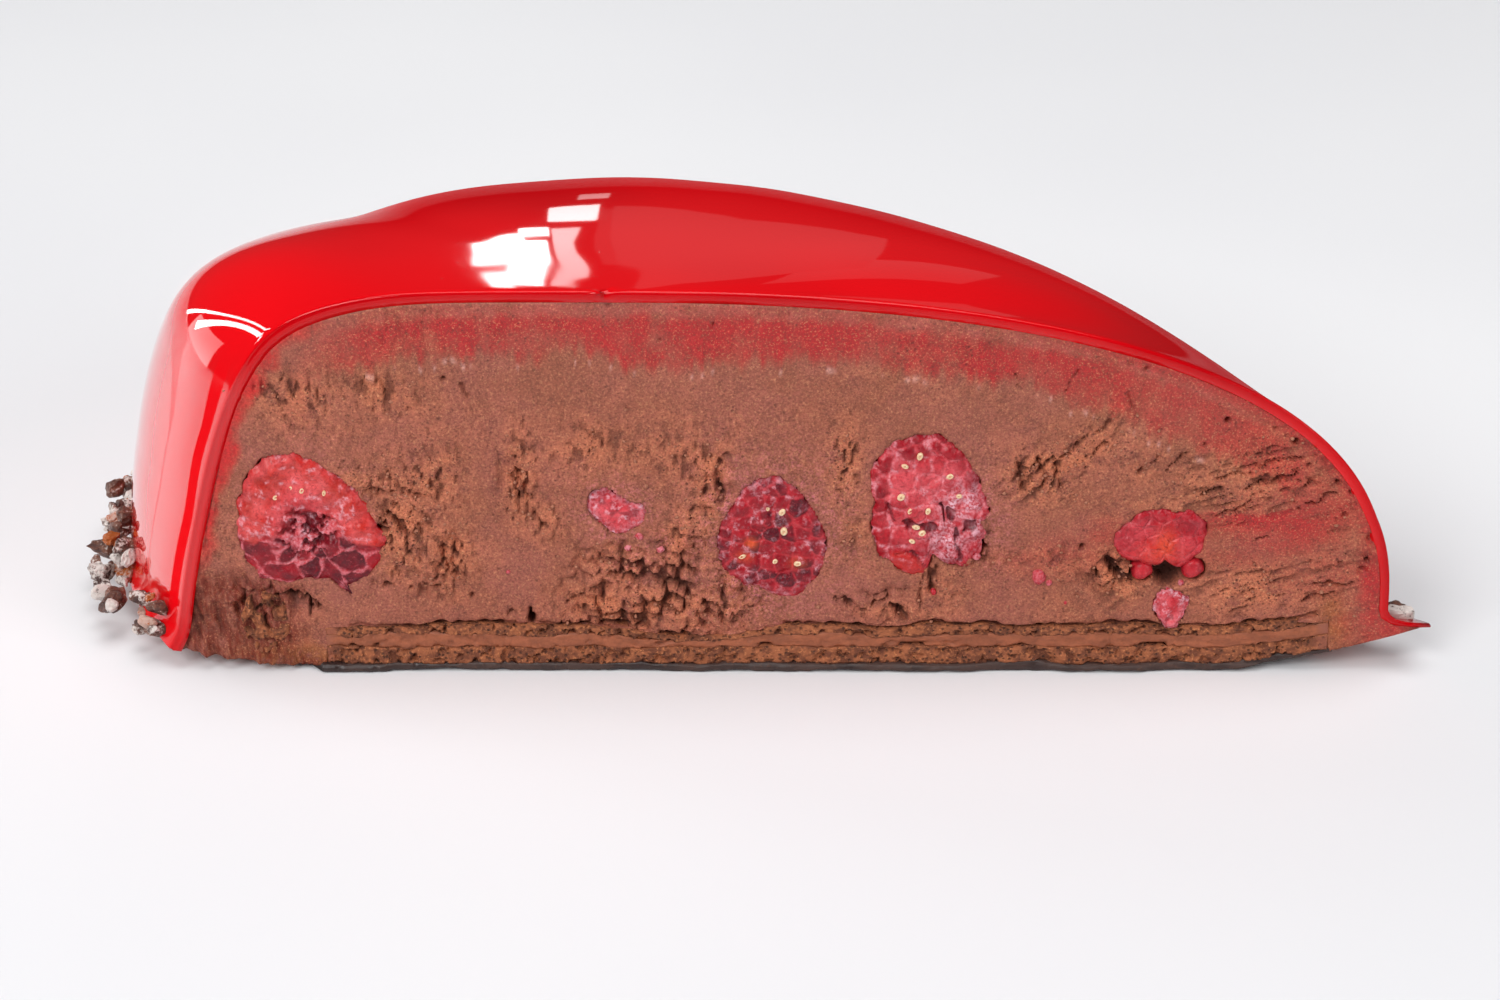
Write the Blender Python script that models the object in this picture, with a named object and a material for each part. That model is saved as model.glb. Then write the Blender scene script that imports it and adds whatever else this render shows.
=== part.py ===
# Half of a heart-shaped mousse cake, cut from the notch to the point. Metres, +Z up, the cut faces -Y.
#
# Shapes are worked out about the crown of the dome, which lies on the cut at (CROWN_X, 0).
# Bearings about it run from 0 degrees at the heart's point (+X), over +Y, to 180 at the notch (-X).

import math

import bmesh
import bpy
import numpy as np
from mathutils import Matrix, Vector

# The heart's outline: a round lobe behind the cut and a bowed flank down to the point
NOTCH_X = -0.0828
POINT_X = 0.0923
CROWN_X = -0.0200
LOBE_Y = 0.0366
LOBE_RADIUS = 0.0599
FLANK_LEAVES = 62          # degrees round the lobe where the flank leaves it
POINT_SLOPE = 59           # degrees between the cut and the flank at the point
FLANK_HANDLE = 0.0500      # how long the flank keeps each of these two directions

# The dome: how square its shoulder is at some bearings, over the top and down the side
HEIGHT = 0.0595
CROWN_FALL = 0.19
SHOULDER_BEARINGS = (0, 18, 40, 70, 100, 130, 155, 180)
TOP_SQUARENESS = (1.9, 4.3, 5.75, 8.2, 4.4, 4.4, 6.8, 5.8)
SIDE_SQUARENESS = (3.3, 2.4, 2.5, 3.0, 2.9, 1.5, 1.9, 1.0)

# The skin of glaze, which runs out into a thin lip round the foot
GLAZE = 0.0016
FOOT = 0.0006
LIP = 0.0012
POINT_LIP = 0.0050
LIP_HEIGHT = 0.0062
LIP_CURVE = 2.2
POINT_LIP_DEGREES = 9.0
GAP = 0.0003

# The cake has sagged into a dished plate: both ends of the cut are lifted a little
POINT_LIFT, POINT_LIFT_FROM = 0.0050, 0.0620
NOTCH_LIFT, NOTCH_LIFT_FROM = 0.0026, -0.0580
LIFT_FADE = 0.0250
MOST_NOTCH_LIFT = 1.3        # how far past the notch the lift still grows

# The layers under the mousse: lowest and highest height of each
LAYERS = {
    "chocolate_base": (0.0, 0.0011),
    "sponge_lower": (0.0014, 0.0037),
    "ganache_band": (0.0040, 0.0058),
    "sponge_upper": (0.0061, 0.0070),
}
# How far in from the outline they end: everywhere, and more near the point and the notch
LAYER_INSET = 0.0050
POINT_INSET, POINT_INSET_DEGREES = 0.0036, 15
NOTCH_INSET, NOTCH_INSET_DEGREES = 0.0165, 24
BASE_OVERHANG = 0.0008

# Raspberries that the cut goes through: middle and half sizes, and how many drupelets round it
RASPBERRIES = {
    "raspberry_1": ((-0.0632, 0.0010, 0.0247), (0.0108, 0.0090, 0.0106), 30),
    "raspberry_2": ((-0.0175, 0.0000, 0.0232), (0.0058, 0.0042, 0.0048), 18),
    "raspberry_3": ((0.0032, 0.0008, 0.0212), (0.0081, 0.0078, 0.0097), 34),
    "raspberry_4": ((0.0253, 0.0010, 0.0266), (0.0089, 0.0082, 0.0112), 34),
    "raspberry_5": ((0.0586, 0.0004, 0.0218), (0.0067, 0.0052, 0.0043), 20),
    "raspberry_6": ((0.0604, 0.0002, 0.0107), (0.0029, 0.0030, 0.0028), 10),
}
DRUPELET_RELIEF = 0.16
POCKET_ROOM = 0.0004        # between a raspberry and its pocket in the mousse
RASPBERRY_HOLLOW = ((-0.0630, 0.0, 0.0205), (0.0044, 0.0046, 0.0052))
HOLLOW_ROUGHNESS = 0.12
LOOSE_DRUPELETS = (((0.0563, 0.0004, 0.0166), 0.0018), ((0.0634, 0.0004, 0.0168), 0.0018))

# A torn piece of sponge near the notch
SPONGE_LUMP = ((-0.0701, 0.0006, 0.0079), (0.0034, 0.0034, 0.0049))
LUMP_GAP = 0.0008
LUMP_SLOPE = 12
LUMP_ROUGHNESS = 0.10

# Holes and slits in the cut mousse: X, Z, half length, half width, depth and slope in degrees
HOLES = (
    (-0.0503, 0.0212, 0.0030, 0.0012, 0.0032, 80),
    (-0.0742, 0.0290, 0.0014, 0.0011, 0.0022, 40),
    (-0.0485, 0.0155, 0.0018, 0.0008, 0.0020, 15),
    (-0.0184, 0.0162, 0.0020, 0.0007, 0.0030, 12),
    (-0.0134, 0.0164, 0.0017, 0.0009, 0.0030, -20),
    (-0.0176, 0.0108, 0.0028, 0.0007, 0.0024, -14),
    (-0.0128, 0.0096, 0.0024, 0.0009, 0.0026, 18),
    (-0.0082, 0.0106, 0.0021, 0.0010, 0.0026, 65),
    (0.0208, 0.0108, 0.0029, 0.0008, 0.0026, -38),
    (0.0600, 0.0152, 0.0021, 0.0017, 0.0042, 0),
    (0.0532, 0.0160, 0.0015, 0.0011, 0.0032, 0),
    (0.0480, 0.0236, 0.0024, 0.0004, 0.0014, 8),
    (0.0668, 0.0318, 0.0046, 0.0005, 0.0016, -17),
    (0.0764, 0.0276, 0.0042, 0.0005, 0.0016, -30),
    (0.0780, 0.0216, 0.0030, 0.0005, 0.0015, -14),
    (-0.0440, 0.0090, 0.0040, 0.0005, 0.0018, 4),
)
HOLE_ROUGHNESS = 0.14

# Roasted nibs round the foot: size, spacing, and how far out and up each row lies
NIB_SIZE = 0.0027
NIB_SPACING = 0.0074
NIB_ROWS = ((0.0012, 0.0024, 1.0), (0.0038, 0.0020, 0.50), (0.0009, 0.0060, 0.65), (0.0007, 0.0094, 0.25))
NIB_BEHIND_CUT = 0.0030
NIB_SIZES = (0.75, 1.2)       # smallest and largest share of the size
NIB_SHAPE = (1.0, 0.74, 0.66)
NIB_ROUGHNESS = 0.16
NIB_TILT = 0.6
NIB_SLIDE, NIB_PUSH, NIB_RISE = 0.0052, 0.0014, 0.0012   # how far each strays along, out and up
NIB_DEPTH = 0.6              # share of the glaze that the nibs reach into

# How fine the solids are
COLUMNS = 30
RINGS = 11
LAYER_RINGS = (0.0, 0.6, 0.9, 1.0)
PAST_CUT = 0.0020

COLOURS = {
    "glaze": ((0.62, 0.012, 0.016), 0.10),
    "mousse": ((0.30, 0.125, 0.080), 0.70),
    "chocolate_base": ((0.050, 0.024, 0.018), 0.45),
    "sponge": ((0.200, 0.080, 0.038), 0.90),
    "ganache_band": ((0.235, 0.088, 0.052), 0.60),
    "raspberry": ((0.52, 0.025, 0.040), 0.40),
}


def clear_scene():
    for thing in list(bpy.data.objects):
        bpy.data.objects.remove(thing, do_unlink=True)


def material(kind):
    made = bpy.data.materials.get(kind)
    if made is None:
        made = bpy.data.materials.new(kind)
        made.use_nodes = True
        colour, roughness = COLOURS[kind]
        shader = made.node_tree.nodes["Principled BSDF"]
        shader.inputs["Base Color"].default_value = (*colour, 1.0)
        shader.inputs["Roughness"].default_value = roughness
        shader.inputs["Metallic"].default_value = 0.0
    return made


def add_object(name, shape, kind, parent=None, collection=None):
    """Turn a bmesh into a smooth-shaded object and free the bmesh."""
    bmesh.ops.recalc_face_normals(shape, faces=shape.faces[:])
    mesh = bpy.data.meshes.new(name)
    shape.to_mesh(mesh)
    shape.free()
    mesh.materials.append(material(kind))
    made = bpy.data.objects.new(name, mesh)
    (collection or bpy.context.scene.collection).objects.link(made)
    made.parent = parent
    return made


def smoothed(values, reach):
    """Average over a bell of 2 * reach + 1 samples, mirrored at both ends."""
    bell = np.hanning(2 * reach + 3)[1:-1]
    padded = np.pad(values, reach, mode="reflect")
    return np.convolve(padded, bell / bell.sum(), mode="valid")


def outline_radius(bearings):
    """Distance from the crown to the heart's outline at each bearing."""
    lobe_x = NOTCH_X + math.sqrt(LOBE_RADIUS ** 2 - LOBE_Y ** 2)
    leave, slope = math.radians(FLANK_LEAVES), math.radians(POINT_SLOPE)
    notch = math.atan2(-LOBE_Y, NOTCH_X - lobe_x) % (2 * math.pi)
    turn = np.linspace(leave, notch, 200)
    lobe = np.stack([lobe_x + LOBE_RADIUS * np.cos(turn), LOBE_Y + LOBE_RADIUS * np.sin(turn)])
    point = np.array([[POINT_X], [0.0]])
    from_point = point + FLANK_HANDLE * np.array([[-math.cos(slope)], [math.sin(slope)]])
    to_lobe = lobe[:, :1] + FLANK_HANDLE * np.array([[math.sin(leave)], [-math.cos(leave)]])
    t = np.linspace(0, 1, 120, endpoint=False)
    flank = ((1 - t) ** 3 * point + 3 * (1 - t) ** 2 * t * from_point
             + 3 * (1 - t) * t ** 2 * to_lobe + t ** 3 * lobe[:, :1])
    x, y = np.hstack([flank, lobe])
    return np.interp(bearings, np.arctan2(y, x - CROWN_X), np.hypot(x - CROWN_X, y))


def by_bearing(bearings, values):
    """Shape number at each bearing, blended smoothly between the listed ones."""
    fine = np.linspace(0, math.pi, 181)
    even = smoothed(np.interp(fine, np.radians(SHOULDER_BEARINGS), values), 9)
    return np.interp(bearings, fine, even)


def lifted(x, z):
    """Height after both ends of the cake have been bent up by the plate."""
    at_point = np.clip((x - POINT_LIFT_FROM) / (POINT_X - POINT_LIFT_FROM), 0, None)
    at_notch = np.clip((NOTCH_LIFT_FROM - x) / (NOTCH_LIFT_FROM - NOTCH_X), 0, MOST_NOTCH_LIFT)
    lift = POINT_LIFT * at_point ** 2 + NOTCH_LIFT * at_notch ** 2
    return z + lift * np.clip(1 - z / LIFT_FADE, 0, 1)


def lip_width(bearings):
    return LIP + POINT_LIP * np.exp(-(np.degrees(bearings) / POINT_LIP_DEGREES) ** 2)


def dome_sheet(columns, rings, inset, foot):
    """Grid of points of the dome moved in by inset: rings from crown to foot, columns by bearing.

    A line down the dome follows (1 - out^top)^(1/side), the quarter of a squared-off circle, mixed
    square to the cut with a parabola. Its points stand closer where it turns.
    """
    bearings = np.linspace(0, math.pi, columns + 1)
    radius = outline_radius(bearings) - inset
    top = by_bearing(bearings, TOP_SQUARENESS)
    side = by_bearing(bearings, SIDE_SQUARENESS)
    fall = CROWN_FALL * np.sin(bearings) ** 2
    outward = np.linspace(0, 1, 160)[:, None] * 0.5 ** (1 / top)
    downward = np.linspace(1, 0, 160)[1:, None] * 0.5 ** (1 / side)
    out = np.vstack([outward, (1 - downward ** side) ** (1 / top)])
    up = np.vstack([(1 - outward ** top) ** (1 / side), downward])
    height = (HEIGHT - inset) * ((1 - fall) * up + fall * (1 - out ** 2))
    height = foot + height * (HEIGHT - inset - foot) / (HEIGHT - inset)
    away = out * radius
    length, turning = np.zeros_like(away), np.zeros_like(away)
    length[1:] = np.cumsum(np.hypot(np.diff(away, axis=0), np.diff(height, axis=0)), axis=0)
    slope = np.arctan2(-np.diff(height, axis=0), np.diff(away, axis=0))
    turning[1:-1] = np.cumsum(np.abs(np.diff(slope, axis=0)), axis=0)
    turning[-1] = turning[-2]
    measure = length / length[-1] + turning / turning[-1]
    steps = np.linspace(0, measure[-1, 0], rings + 1)
    away = np.stack([np.interp(steps, s, a) for s, a in zip(measure.T, away.T)], axis=1)
    height = np.stack([np.interp(steps, s, h) for s, h in zip(measure.T, height.T)], axis=1)
    low = np.clip(1 - (height - foot) / LIP_HEIGHT, 0, 1)
    away = away + lip_width(bearings) * low ** LIP_CURVE
    x = CROWN_X + away * np.cos(bearings)
    y = away * np.sin(bearings)
    y[:, 0] = y[:, -1] = 0.0
    return np.stack([x, y, lifted(x, height)], axis=-1)


def flat_sheet(columns, parts, edge, z):
    """Grid of points of a level sheet about the crown, out to the distance edge at each bearing."""
    bearings = np.linspace(0, math.pi, columns + 1)
    away = np.array(parts)[:, None] * edge
    x = CROWN_X + away * np.cos(bearings)
    y = away * np.sin(bearings)
    y[:, 0] = y[:, -1] = 0.0
    return np.stack([x, y, lifted(x, np.full_like(x, z))], axis=-1)


def past_cut(sheet, margin):
    """Carry a grid's two ends on past the cut, in line with the columns beside them."""
    for end, beside in ((0, 1), (-1, -2)):
        step = sheet[1:, end] - sheet[1:, beside]
        sheet[1:, end] += step * margin / sheet[1:, beside, 1:2]
    sheet[0, :, 1] = -margin
    return sheet


def dome_body(inset, foot, margin=0.0):
    """The whole dome moved in by inset, closed level with its foot, and carried past the cut by margin."""
    upper = dome_sheet(COLUMNS, RINGS, inset, foot)
    spread = np.hypot(upper[-1, :, 0] - CROWN_X, upper[-1, :, 1])
    lower = flat_sheet(COLUMNS, np.linspace(0, 1, RINGS + 1), spread, foot)
    if margin:
        upper, lower = past_cut(upper, margin), past_cut(lower, margin)
    lower[-1] = upper[-1]
    return closed_between(upper, lower)


def closed_between(upper, lower):
    """Closed bmesh between two grids of points with the same numbers of rings and columns."""
    shape = bmesh.new()
    over = [[shape.verts.new(p) for p in ring] for ring in upper]
    under = [[shape.verts.new(p) for p in ring] for ring in lower]
    rings, columns = len(over), len(over[0])
    for i in range(rings - 1):
        for j in range(columns - 1):
            shape.faces.new((over[i][j], over[i + 1][j], over[i + 1][j + 1], over[i][j + 1]))
            shape.faces.new((under[i][j], under[i][j + 1], under[i + 1][j + 1], under[i + 1][j]))
        shape.faces.new((over[i][0], under[i][0], under[i + 1][0], over[i + 1][0]))
        shape.faces.new((over[i][-1], over[i + 1][-1], under[i + 1][-1], under[i][-1]))
    for j in range(columns - 1):
        shape.faces.new((over[-1][j], under[-1][j], under[-1][j + 1], over[-1][j + 1]))
    bmesh.ops.remove_doubles(shape, verts=shape.verts[:], dist=1e-6)
    bmesh.ops.triangulate(shape, faces=shape.faces[:], quad_method="FIXED")
    return shape


def drupelet_directions(count):
    """Unit vectors spread evenly over a ball, on a spiral from its top to its bottom."""
    index = np.arange(count) + 0.5
    up = 1 - 2 * index / count
    turn = index * math.pi * (3 - math.sqrt(5))
    flat = np.sqrt(1 - up ** 2)
    return np.stack([flat * np.cos(turn), flat * np.sin(turn), up], axis=1)


def raspberry_shape(middle, half, drupelets, swell=0.0, cut=True):
    """Bumpy ball with a bump for each drupelet, cut off flat in front of the cut."""
    shape = bmesh.new()
    fine = drupelets > 15
    bmesh.ops.create_uvsphere(shape, u_segments=18 if fine else 12, v_segments=11 if fine else 8, radius=1.0)
    bumps = drupelet_directions(drupelets)
    reach = 2.0 / math.sqrt(drupelets)
    size = np.array(half) + swell
    for vert in shape.verts:
        toward = np.array(vert.co.normalized())
        angle = math.acos(min(1.0, float((bumps @ toward).max())))
        bump = 1 - min(1.0, angle / reach) ** 2
        vert.co = Vector(np.array(middle) + toward * size * (1 + DRUPELET_RELIEF * (bump - 0.75)))
    bmesh.ops.triangulate(shape, faces=shape.faces[:], quad_method="FIXED")
    if cut:
        cut_flat(shape)
    return shape


def cut_flat(shape):
    """Cut a shape off at the plane of the cake's cut and close it."""
    everything = shape.verts[:] + shape.edges[:] + shape.faces[:]
    sliced = bmesh.ops.bisect_plane(shape, geom=everything, plane_co=(0, 0, 0), plane_no=(0, -1, 0),
                                    clear_outer=True)
    rim = [part for part in sliced["geom_cut"] if isinstance(part, bmesh.types.BMEdge)]
    bmesh.ops.holes_fill(shape, edges=rim, sides=0)


def rough_ball(middle, half, slope, roughness, draw, fine=2):
    """Uneven ball with three half sizes, sloped in the plane of the cut."""
    shape = bmesh.new()
    bmesh.ops.create_icosphere(shape, subdivisions=fine, radius=1.0)
    for vert in shape.verts:
        vert.co *= 1 + roughness * draw.uniform(-1, 1)
    place = (Matrix.Translation(middle) @ Matrix.Rotation(-math.radians(slope), 4, "Y")
             @ Matrix.Diagonal((*half, 1.0)))
    shape.transform(place)
    return shape


def boolean(target, steps, loose=False):
    """Join or take away everything in each collection and drop loose scraps, unless loose is true."""
    for operation, collection in steps:
        change = target.modifiers.new(operation.lower(), "BOOLEAN")
        change.operation = operation
        change.operand_type = "COLLECTION"
        change.collection = collection
        change.solver = "EXACT"
    bpy.context.view_layer.update()
    depsgraph = bpy.context.evaluated_depsgraph_get()
    mesh = bpy.data.meshes.new_from_object(target.evaluated_get(depsgraph))
    target.modifiers.clear()
    target.data = mesh
    for operation, collection in steps:
        for used in list(collection.objects):
            bpy.data.objects.remove(used, do_unlink=True)
        bpy.data.collections.remove(collection)
    if not loose:
        keep_largest(mesh)


def keep_largest(mesh):
    shape = bmesh.new()
    shape.from_mesh(mesh)
    left = set(shape.verts)
    bodies = []
    while left:
        body, front = set(), [left.pop()]
        while front:
            vert = front.pop()
            body.add(vert)
            for edge in vert.link_edges:
                other = edge.other_vert(vert)
                if other in left:
                    left.remove(other)
                    front.append(other)
        bodies.append(body)
    bodies.sort(key=len)
    scraps = [vert for body in bodies[:-1] for vert in body]
    bmesh.ops.delete(shape, geom=scraps, context="VERTS")
    bmesh.ops.triangulate(shape, faces=shape.faces[:])
    shape.to_mesh(mesh)
    shape.free()


def new_collection(name):
    made = bpy.data.collections.new(name)
    bpy.context.scene.collection.children.link(made)
    return made


def layer_edge(columns, grow=0.0):
    """Distance from the crown to the edge of the layers under the mousse."""
    bearings = np.linspace(0, math.pi, columns + 1)
    degrees = np.degrees(bearings)
    inset = (LAYER_INSET + POINT_INSET * np.exp(-(degrees / POINT_INSET_DEGREES) ** 2)
             + NOTCH_INSET * np.exp(-((180 - degrees) / NOTCH_INSET_DEGREES) ** 2))
    return outline_radius(bearings) - inset + grow


def make_layer(name, low, high, kind, parent):
    grow = BASE_OVERHANG if name == "chocolate_base" else 0.0
    edge = layer_edge(COLUMNS, grow)
    upper = flat_sheet(COLUMNS, LAYER_RINGS, edge, high)
    lower = flat_sheet(COLUMNS, LAYER_RINGS, edge, low)
    return add_object(name, closed_between(upper, lower), kind, parent)


def nib_places(draw):
    """Middle of each nib: rows along the foot of the glaze, each at its own height and way out."""
    skin = dome_sheet(180, 60, 0.0, FOOT)
    foot = skin[-1]
    length = np.concatenate([[0], np.cumsum(np.hypot(*np.diff(foot[:, :2], axis=0).T))])
    for out, up, share in NIB_ROWS:
        at_height = np.array([[np.interp(up, column[::-1, 2] - column[-1, 2] + FOOT, column[::-1, axis])
                               for axis in (0, 1)] for column in skin.transpose(1, 0, 2)])
        for stop in np.arange(NIB_SPACING / 2, length[-1], NIB_SPACING):
            chance, slide, push, rise = draw.uniform(0, 1, 4)
            if chance > share:
                continue
            here = stop + (slide - 0.5) * NIB_SLIDE
            start, ahead = (np.array([np.interp(at, length, at_height[:, axis]) for axis in (0, 1)])
                            for at in (here, here + 0.001))
            along = (ahead - start) / max(np.linalg.norm(ahead - start), 1e-9)
            x, y = start + np.array([along[1], -along[0]]) * (out + (push - 0.5) * NIB_PUSH)
            height = lifted(x, up + (rise - 0.5) * NIB_RISE)
            yield Vector((x, max(y, NIB_BEHIND_CUT), height))


def make_nibs(collection):
    """Roasted nibs as small uneven stones."""
    draw = np.random.default_rng(7)
    for number, middle in enumerate(nib_places(draw)):
        stone = bmesh.new()
        bmesh.ops.create_icosphere(stone, subdivisions=1, radius=1.0)
        for vert in stone.verts:
            vert.co *= 1 + NIB_ROUGHNESS * draw.uniform(-1, 1)
        size = NIB_SIZE * draw.uniform(*NIB_SIZES)
        turn = (Matrix.Rotation(draw.uniform(0, math.tau), 4, "Z")
                @ Matrix.Rotation(draw.uniform(-NIB_TILT, NIB_TILT), 4, "X"))
        stone.transform(turn @ Matrix.Diagonal((*(size * share for share in NIB_SHAPE), 1.0)))
        low = min(vert.co.z for vert in stone.verts)
        middle.z = max(middle.z, FOOT - low)
        stone.transform(Matrix.Translation(middle))
        add_object(f"nib_{number}", stone, "sponge", collection=collection)


def make_glaze(parent):
    outer = dome_sheet(COLUMNS, RINGS, 0.0, FOOT)
    inner = dome_sheet(COLUMNS, RINGS, GLAZE, FOOT)
    glaze = add_object("glaze", closed_between(outer, inner), "glaze", parent)
    nibs = new_collection("nibs")
    fuse_nibs(nibs)
    boolean(glaze, (("UNION", nibs),))
    return glaze


def fuse_nibs(collection):
    """Join the nibs where they touch and trim them at the middle of the glaze."""
    others, inside = new_collection("others"), new_collection("inside")
    make_nibs(others)
    first = others.objects[0]
    others.objects.unlink(first)
    collection.objects.link(first)
    add_object("inside_cutter", dome_body(GLAZE * NIB_DEPTH, FOOT, PAST_CUT), "mousse", collection=inside)
    boolean(first, (("UNION", others), ("DIFFERENCE", inside)), loose=True)


def make_raspberries(parent):
    for name, (middle, half, drupelets) in RASPBERRIES.items():
        berry = add_object(name, raspberry_shape(middle, half, drupelets), "raspberry", parent)
        if name == "raspberry_1":
            core = new_collection("core")
            draw = np.random.default_rng(3)
            hollow = rough_ball(*RASPBERRY_HOLLOW, 0, HOLLOW_ROUGHNESS, draw)
            add_object("core_hollow", hollow, "raspberry", collection=core)
            boolean(berry, (("DIFFERENCE", core),))
        if name == "raspberry_5":
            loose = new_collection("loose")
            for number, (place, size) in enumerate(LOOSE_DRUPELETS):
                add_object(f"drupelet_{number}", loose_drupelet(place, size), "raspberry", collection=loose)
            boolean(berry, (("UNION", loose),))


def loose_drupelet(middle, size, cut=True):
    shape = bmesh.new()
    bmesh.ops.create_uvsphere(shape, u_segments=12, v_segments=8, radius=size)
    shape.transform(Matrix.Translation(middle))
    if cut:
        cut_flat(shape)
    return shape


def make_lump(parent):
    draw = np.random.default_rng(11)
    shape = rough_ball(*SPONGE_LUMP, LUMP_SLOPE, LUMP_ROUGHNESS, draw, fine=3)
    cut_flat(shape)
    return add_object("sponge_lump", shape, "sponge", parent)


def mousse_cutters(collection):
    """What the mousse makes room for: the layers, the raspberries, the lump, and its own holes."""
    edge = layer_edge(COLUMNS, BASE_OVERHANG + GAP)
    top = max(high for low, high in LAYERS.values()) + GAP
    upper = past_cut(flat_sheet(COLUMNS, LAYER_RINGS, edge, top), PAST_CUT)
    lower = past_cut(flat_sheet(COLUMNS, LAYER_RINGS, edge, -PAST_CUT), PAST_CUT)
    add_object("layers_cutter", closed_between(upper, lower), "mousse", collection=collection)
    for name, (middle, half, drupelets) in RASPBERRIES.items():
        pocket = raspberry_shape(middle, half, drupelets, swell=POCKET_ROOM, cut=False)
        add_object(name + "_cutter", pocket, "mousse", collection=collection)
    for number, (place, size) in enumerate(LOOSE_DRUPELETS):
        shape = loose_drupelet(place, size + POCKET_ROOM, cut=False)
        add_object(f"drupelet_cutter_{number}", shape, "mousse", collection=collection)
    draw = np.random.default_rng(11)
    middle, half = SPONGE_LUMP
    room = tuple(size + LUMP_GAP for size in half)
    around = rough_ball(middle, room, LUMP_SLOPE, LUMP_ROUGHNESS, draw, fine=3)
    add_object("lump_cutter", around, "mousse", collection=collection)
    draw = np.random.default_rng(23)
    for number, (x, z, length, width, depth, slope) in enumerate(HOLES):
        hole = rough_ball((x, 0.0, z), (length, depth, width), slope, HOLE_ROUGHNESS, draw, fine=1)
        add_object(f"hole_{number}", hole, "mousse", collection=collection)


def make_mousse(parent):
    mousse = add_object("mousse", dome_body(GLAZE + GAP, FOOT), "mousse", parent)
    cutters = new_collection("cutters")
    mousse_cutters(cutters)
    boolean(mousse, (("DIFFERENCE", cutters),))
    return mousse


def centre_on_origin(parent):
    """Bring the middle of the box's bottom to the origin by moving the empty that holds everything."""
    bpy.context.view_layer.update()
    points = np.array([thing.matrix_world @ vert.co for thing in parent.children
                       for vert in thing.data.vertices])
    low, high = points.min(axis=0), points.max(axis=0)
    parent.location = (-(low[0] + high[0]) / 2, -(low[1] + high[1]) / 2, -low[2])


def shade(parent):
    for thing in parent.children:
        thing.data.shade_smooth()
        thing.data.set_sharp_from_angle(angle=math.radians(38))


def build_cake():
    clear_scene()
    cake = bpy.data.objects.new("cake", None)
    bpy.context.scene.collection.objects.link(cake)
    make_glaze(cake)
    make_mousse(cake)
    make_raspberries(cake)
    make_lump(cake)
    for name, (low, high) in LAYERS.items():
        kind = "sponge" if name.startswith("sponge") else name
        make_layer(name, low, high, kind, cake)
    centre_on_origin(cake)
    shade(cake)


build_cake()
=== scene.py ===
import math

import bpy
import numpy as np
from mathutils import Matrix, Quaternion, Vector


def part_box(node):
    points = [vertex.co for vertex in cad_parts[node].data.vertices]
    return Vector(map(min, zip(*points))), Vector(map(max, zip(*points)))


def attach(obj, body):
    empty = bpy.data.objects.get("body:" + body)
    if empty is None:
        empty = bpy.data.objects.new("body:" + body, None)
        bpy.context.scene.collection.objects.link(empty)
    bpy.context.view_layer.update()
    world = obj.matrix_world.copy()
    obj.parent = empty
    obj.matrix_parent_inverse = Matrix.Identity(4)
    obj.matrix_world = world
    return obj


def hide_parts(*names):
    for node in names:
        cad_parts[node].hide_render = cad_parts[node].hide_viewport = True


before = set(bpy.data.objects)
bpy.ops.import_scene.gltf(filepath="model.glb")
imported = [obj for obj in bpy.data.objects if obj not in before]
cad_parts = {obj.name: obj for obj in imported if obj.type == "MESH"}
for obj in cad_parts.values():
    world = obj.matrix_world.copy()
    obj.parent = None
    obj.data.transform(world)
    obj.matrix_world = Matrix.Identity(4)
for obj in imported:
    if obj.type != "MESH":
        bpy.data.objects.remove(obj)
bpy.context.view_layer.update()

# Shapes are worked out in millimetres about the crown of the dome. The cut is the plane y = 0,
# and bearings run from 0 degrees at the heart's point, over +Y, to 180 at its notch.
dome = {
    "notchX": -82.8, "pointX": 92.3, "crownX": -20.0,
    "lobeY": 36.6, "lobeRadius": 59.9,
    "flankLeaves": 62, "pointSlope": 59, "flankHandle": 50.0,
    "height": 59.5, "crownFall": 0.19,
    "bearings": (0, 18, 40, 70, 100, 130, 155, 180),
    "topSquareness": (1.9, 4.3, 5.75, 8.2, 4.4, 4.4, 6.8, 5.8),
    "sideSquareness": (3.3, 2.4, 2.5, 3.0, 2.9, 1.5, 1.9, 1.0),
    "foot": 0.6, "lip": 1.2, "pointLip": 5.0, "pointLipDegrees": 9.0, "lipHeight": 6.2, "lipCurve": 2.2,
    "pointLift": 5.0, "pointLiftFrom": 62.0, "notchLift": 2.6, "notchLiftFrom": -58.0,
    "mostNotchLift": 1.3, "liftFade": 25.0,
    "corner": 1.7, "cornerDegrees": 30, "cornerSlope": 50, "cornerTurn": 24,
}

# The camera stands where the photograph was taken from
camera = {"back": 366.97, "height": 211.19, "pitch": 26.565, "pixels": 2900.0, "wide": 1500, "high": 1000}

layers = {"inset": 5.0, "pointInset": 3.6, "pointDegrees": 15, "notchInset": 16.5, "notchDegrees": 24,
          "coatOverhang": 0.8}


def rise(value, low, high):
    # Smooth step: 0 below low, 1 above high, a cubic curve between
    t = np.clip((value - low) / (high - low), 0, 1)
    return t * t * (3 - 2 * t)


def bell(value, middle, width):
    return np.exp(-((value - middle) / width) ** 2)


def noise(x, z, size, seed):
    # Value noise from -1 to 1: random numbers on a square lattice, joined by a cubic curve
    table = np.random.default_rng(seed).uniform(-1, 1, (128, 128))
    a, b = x / size + 61.3, z / size + 47.9
    i, j = np.floor(a).astype(int), np.floor(b).astype(int)
    a, b = a - i, b - j
    a, b = a * a * (3 - 2 * a), b * b * (3 - 2 * b)
    i, j, k, l = i % 128, j % 128, (i + 1) % 128, (j + 1) % 128
    return ((table[i, j] * (1 - a) + table[k, j] * a) * (1 - b)
            + (table[i, l] * (1 - a) + table[k, l] * a) * b)


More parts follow.
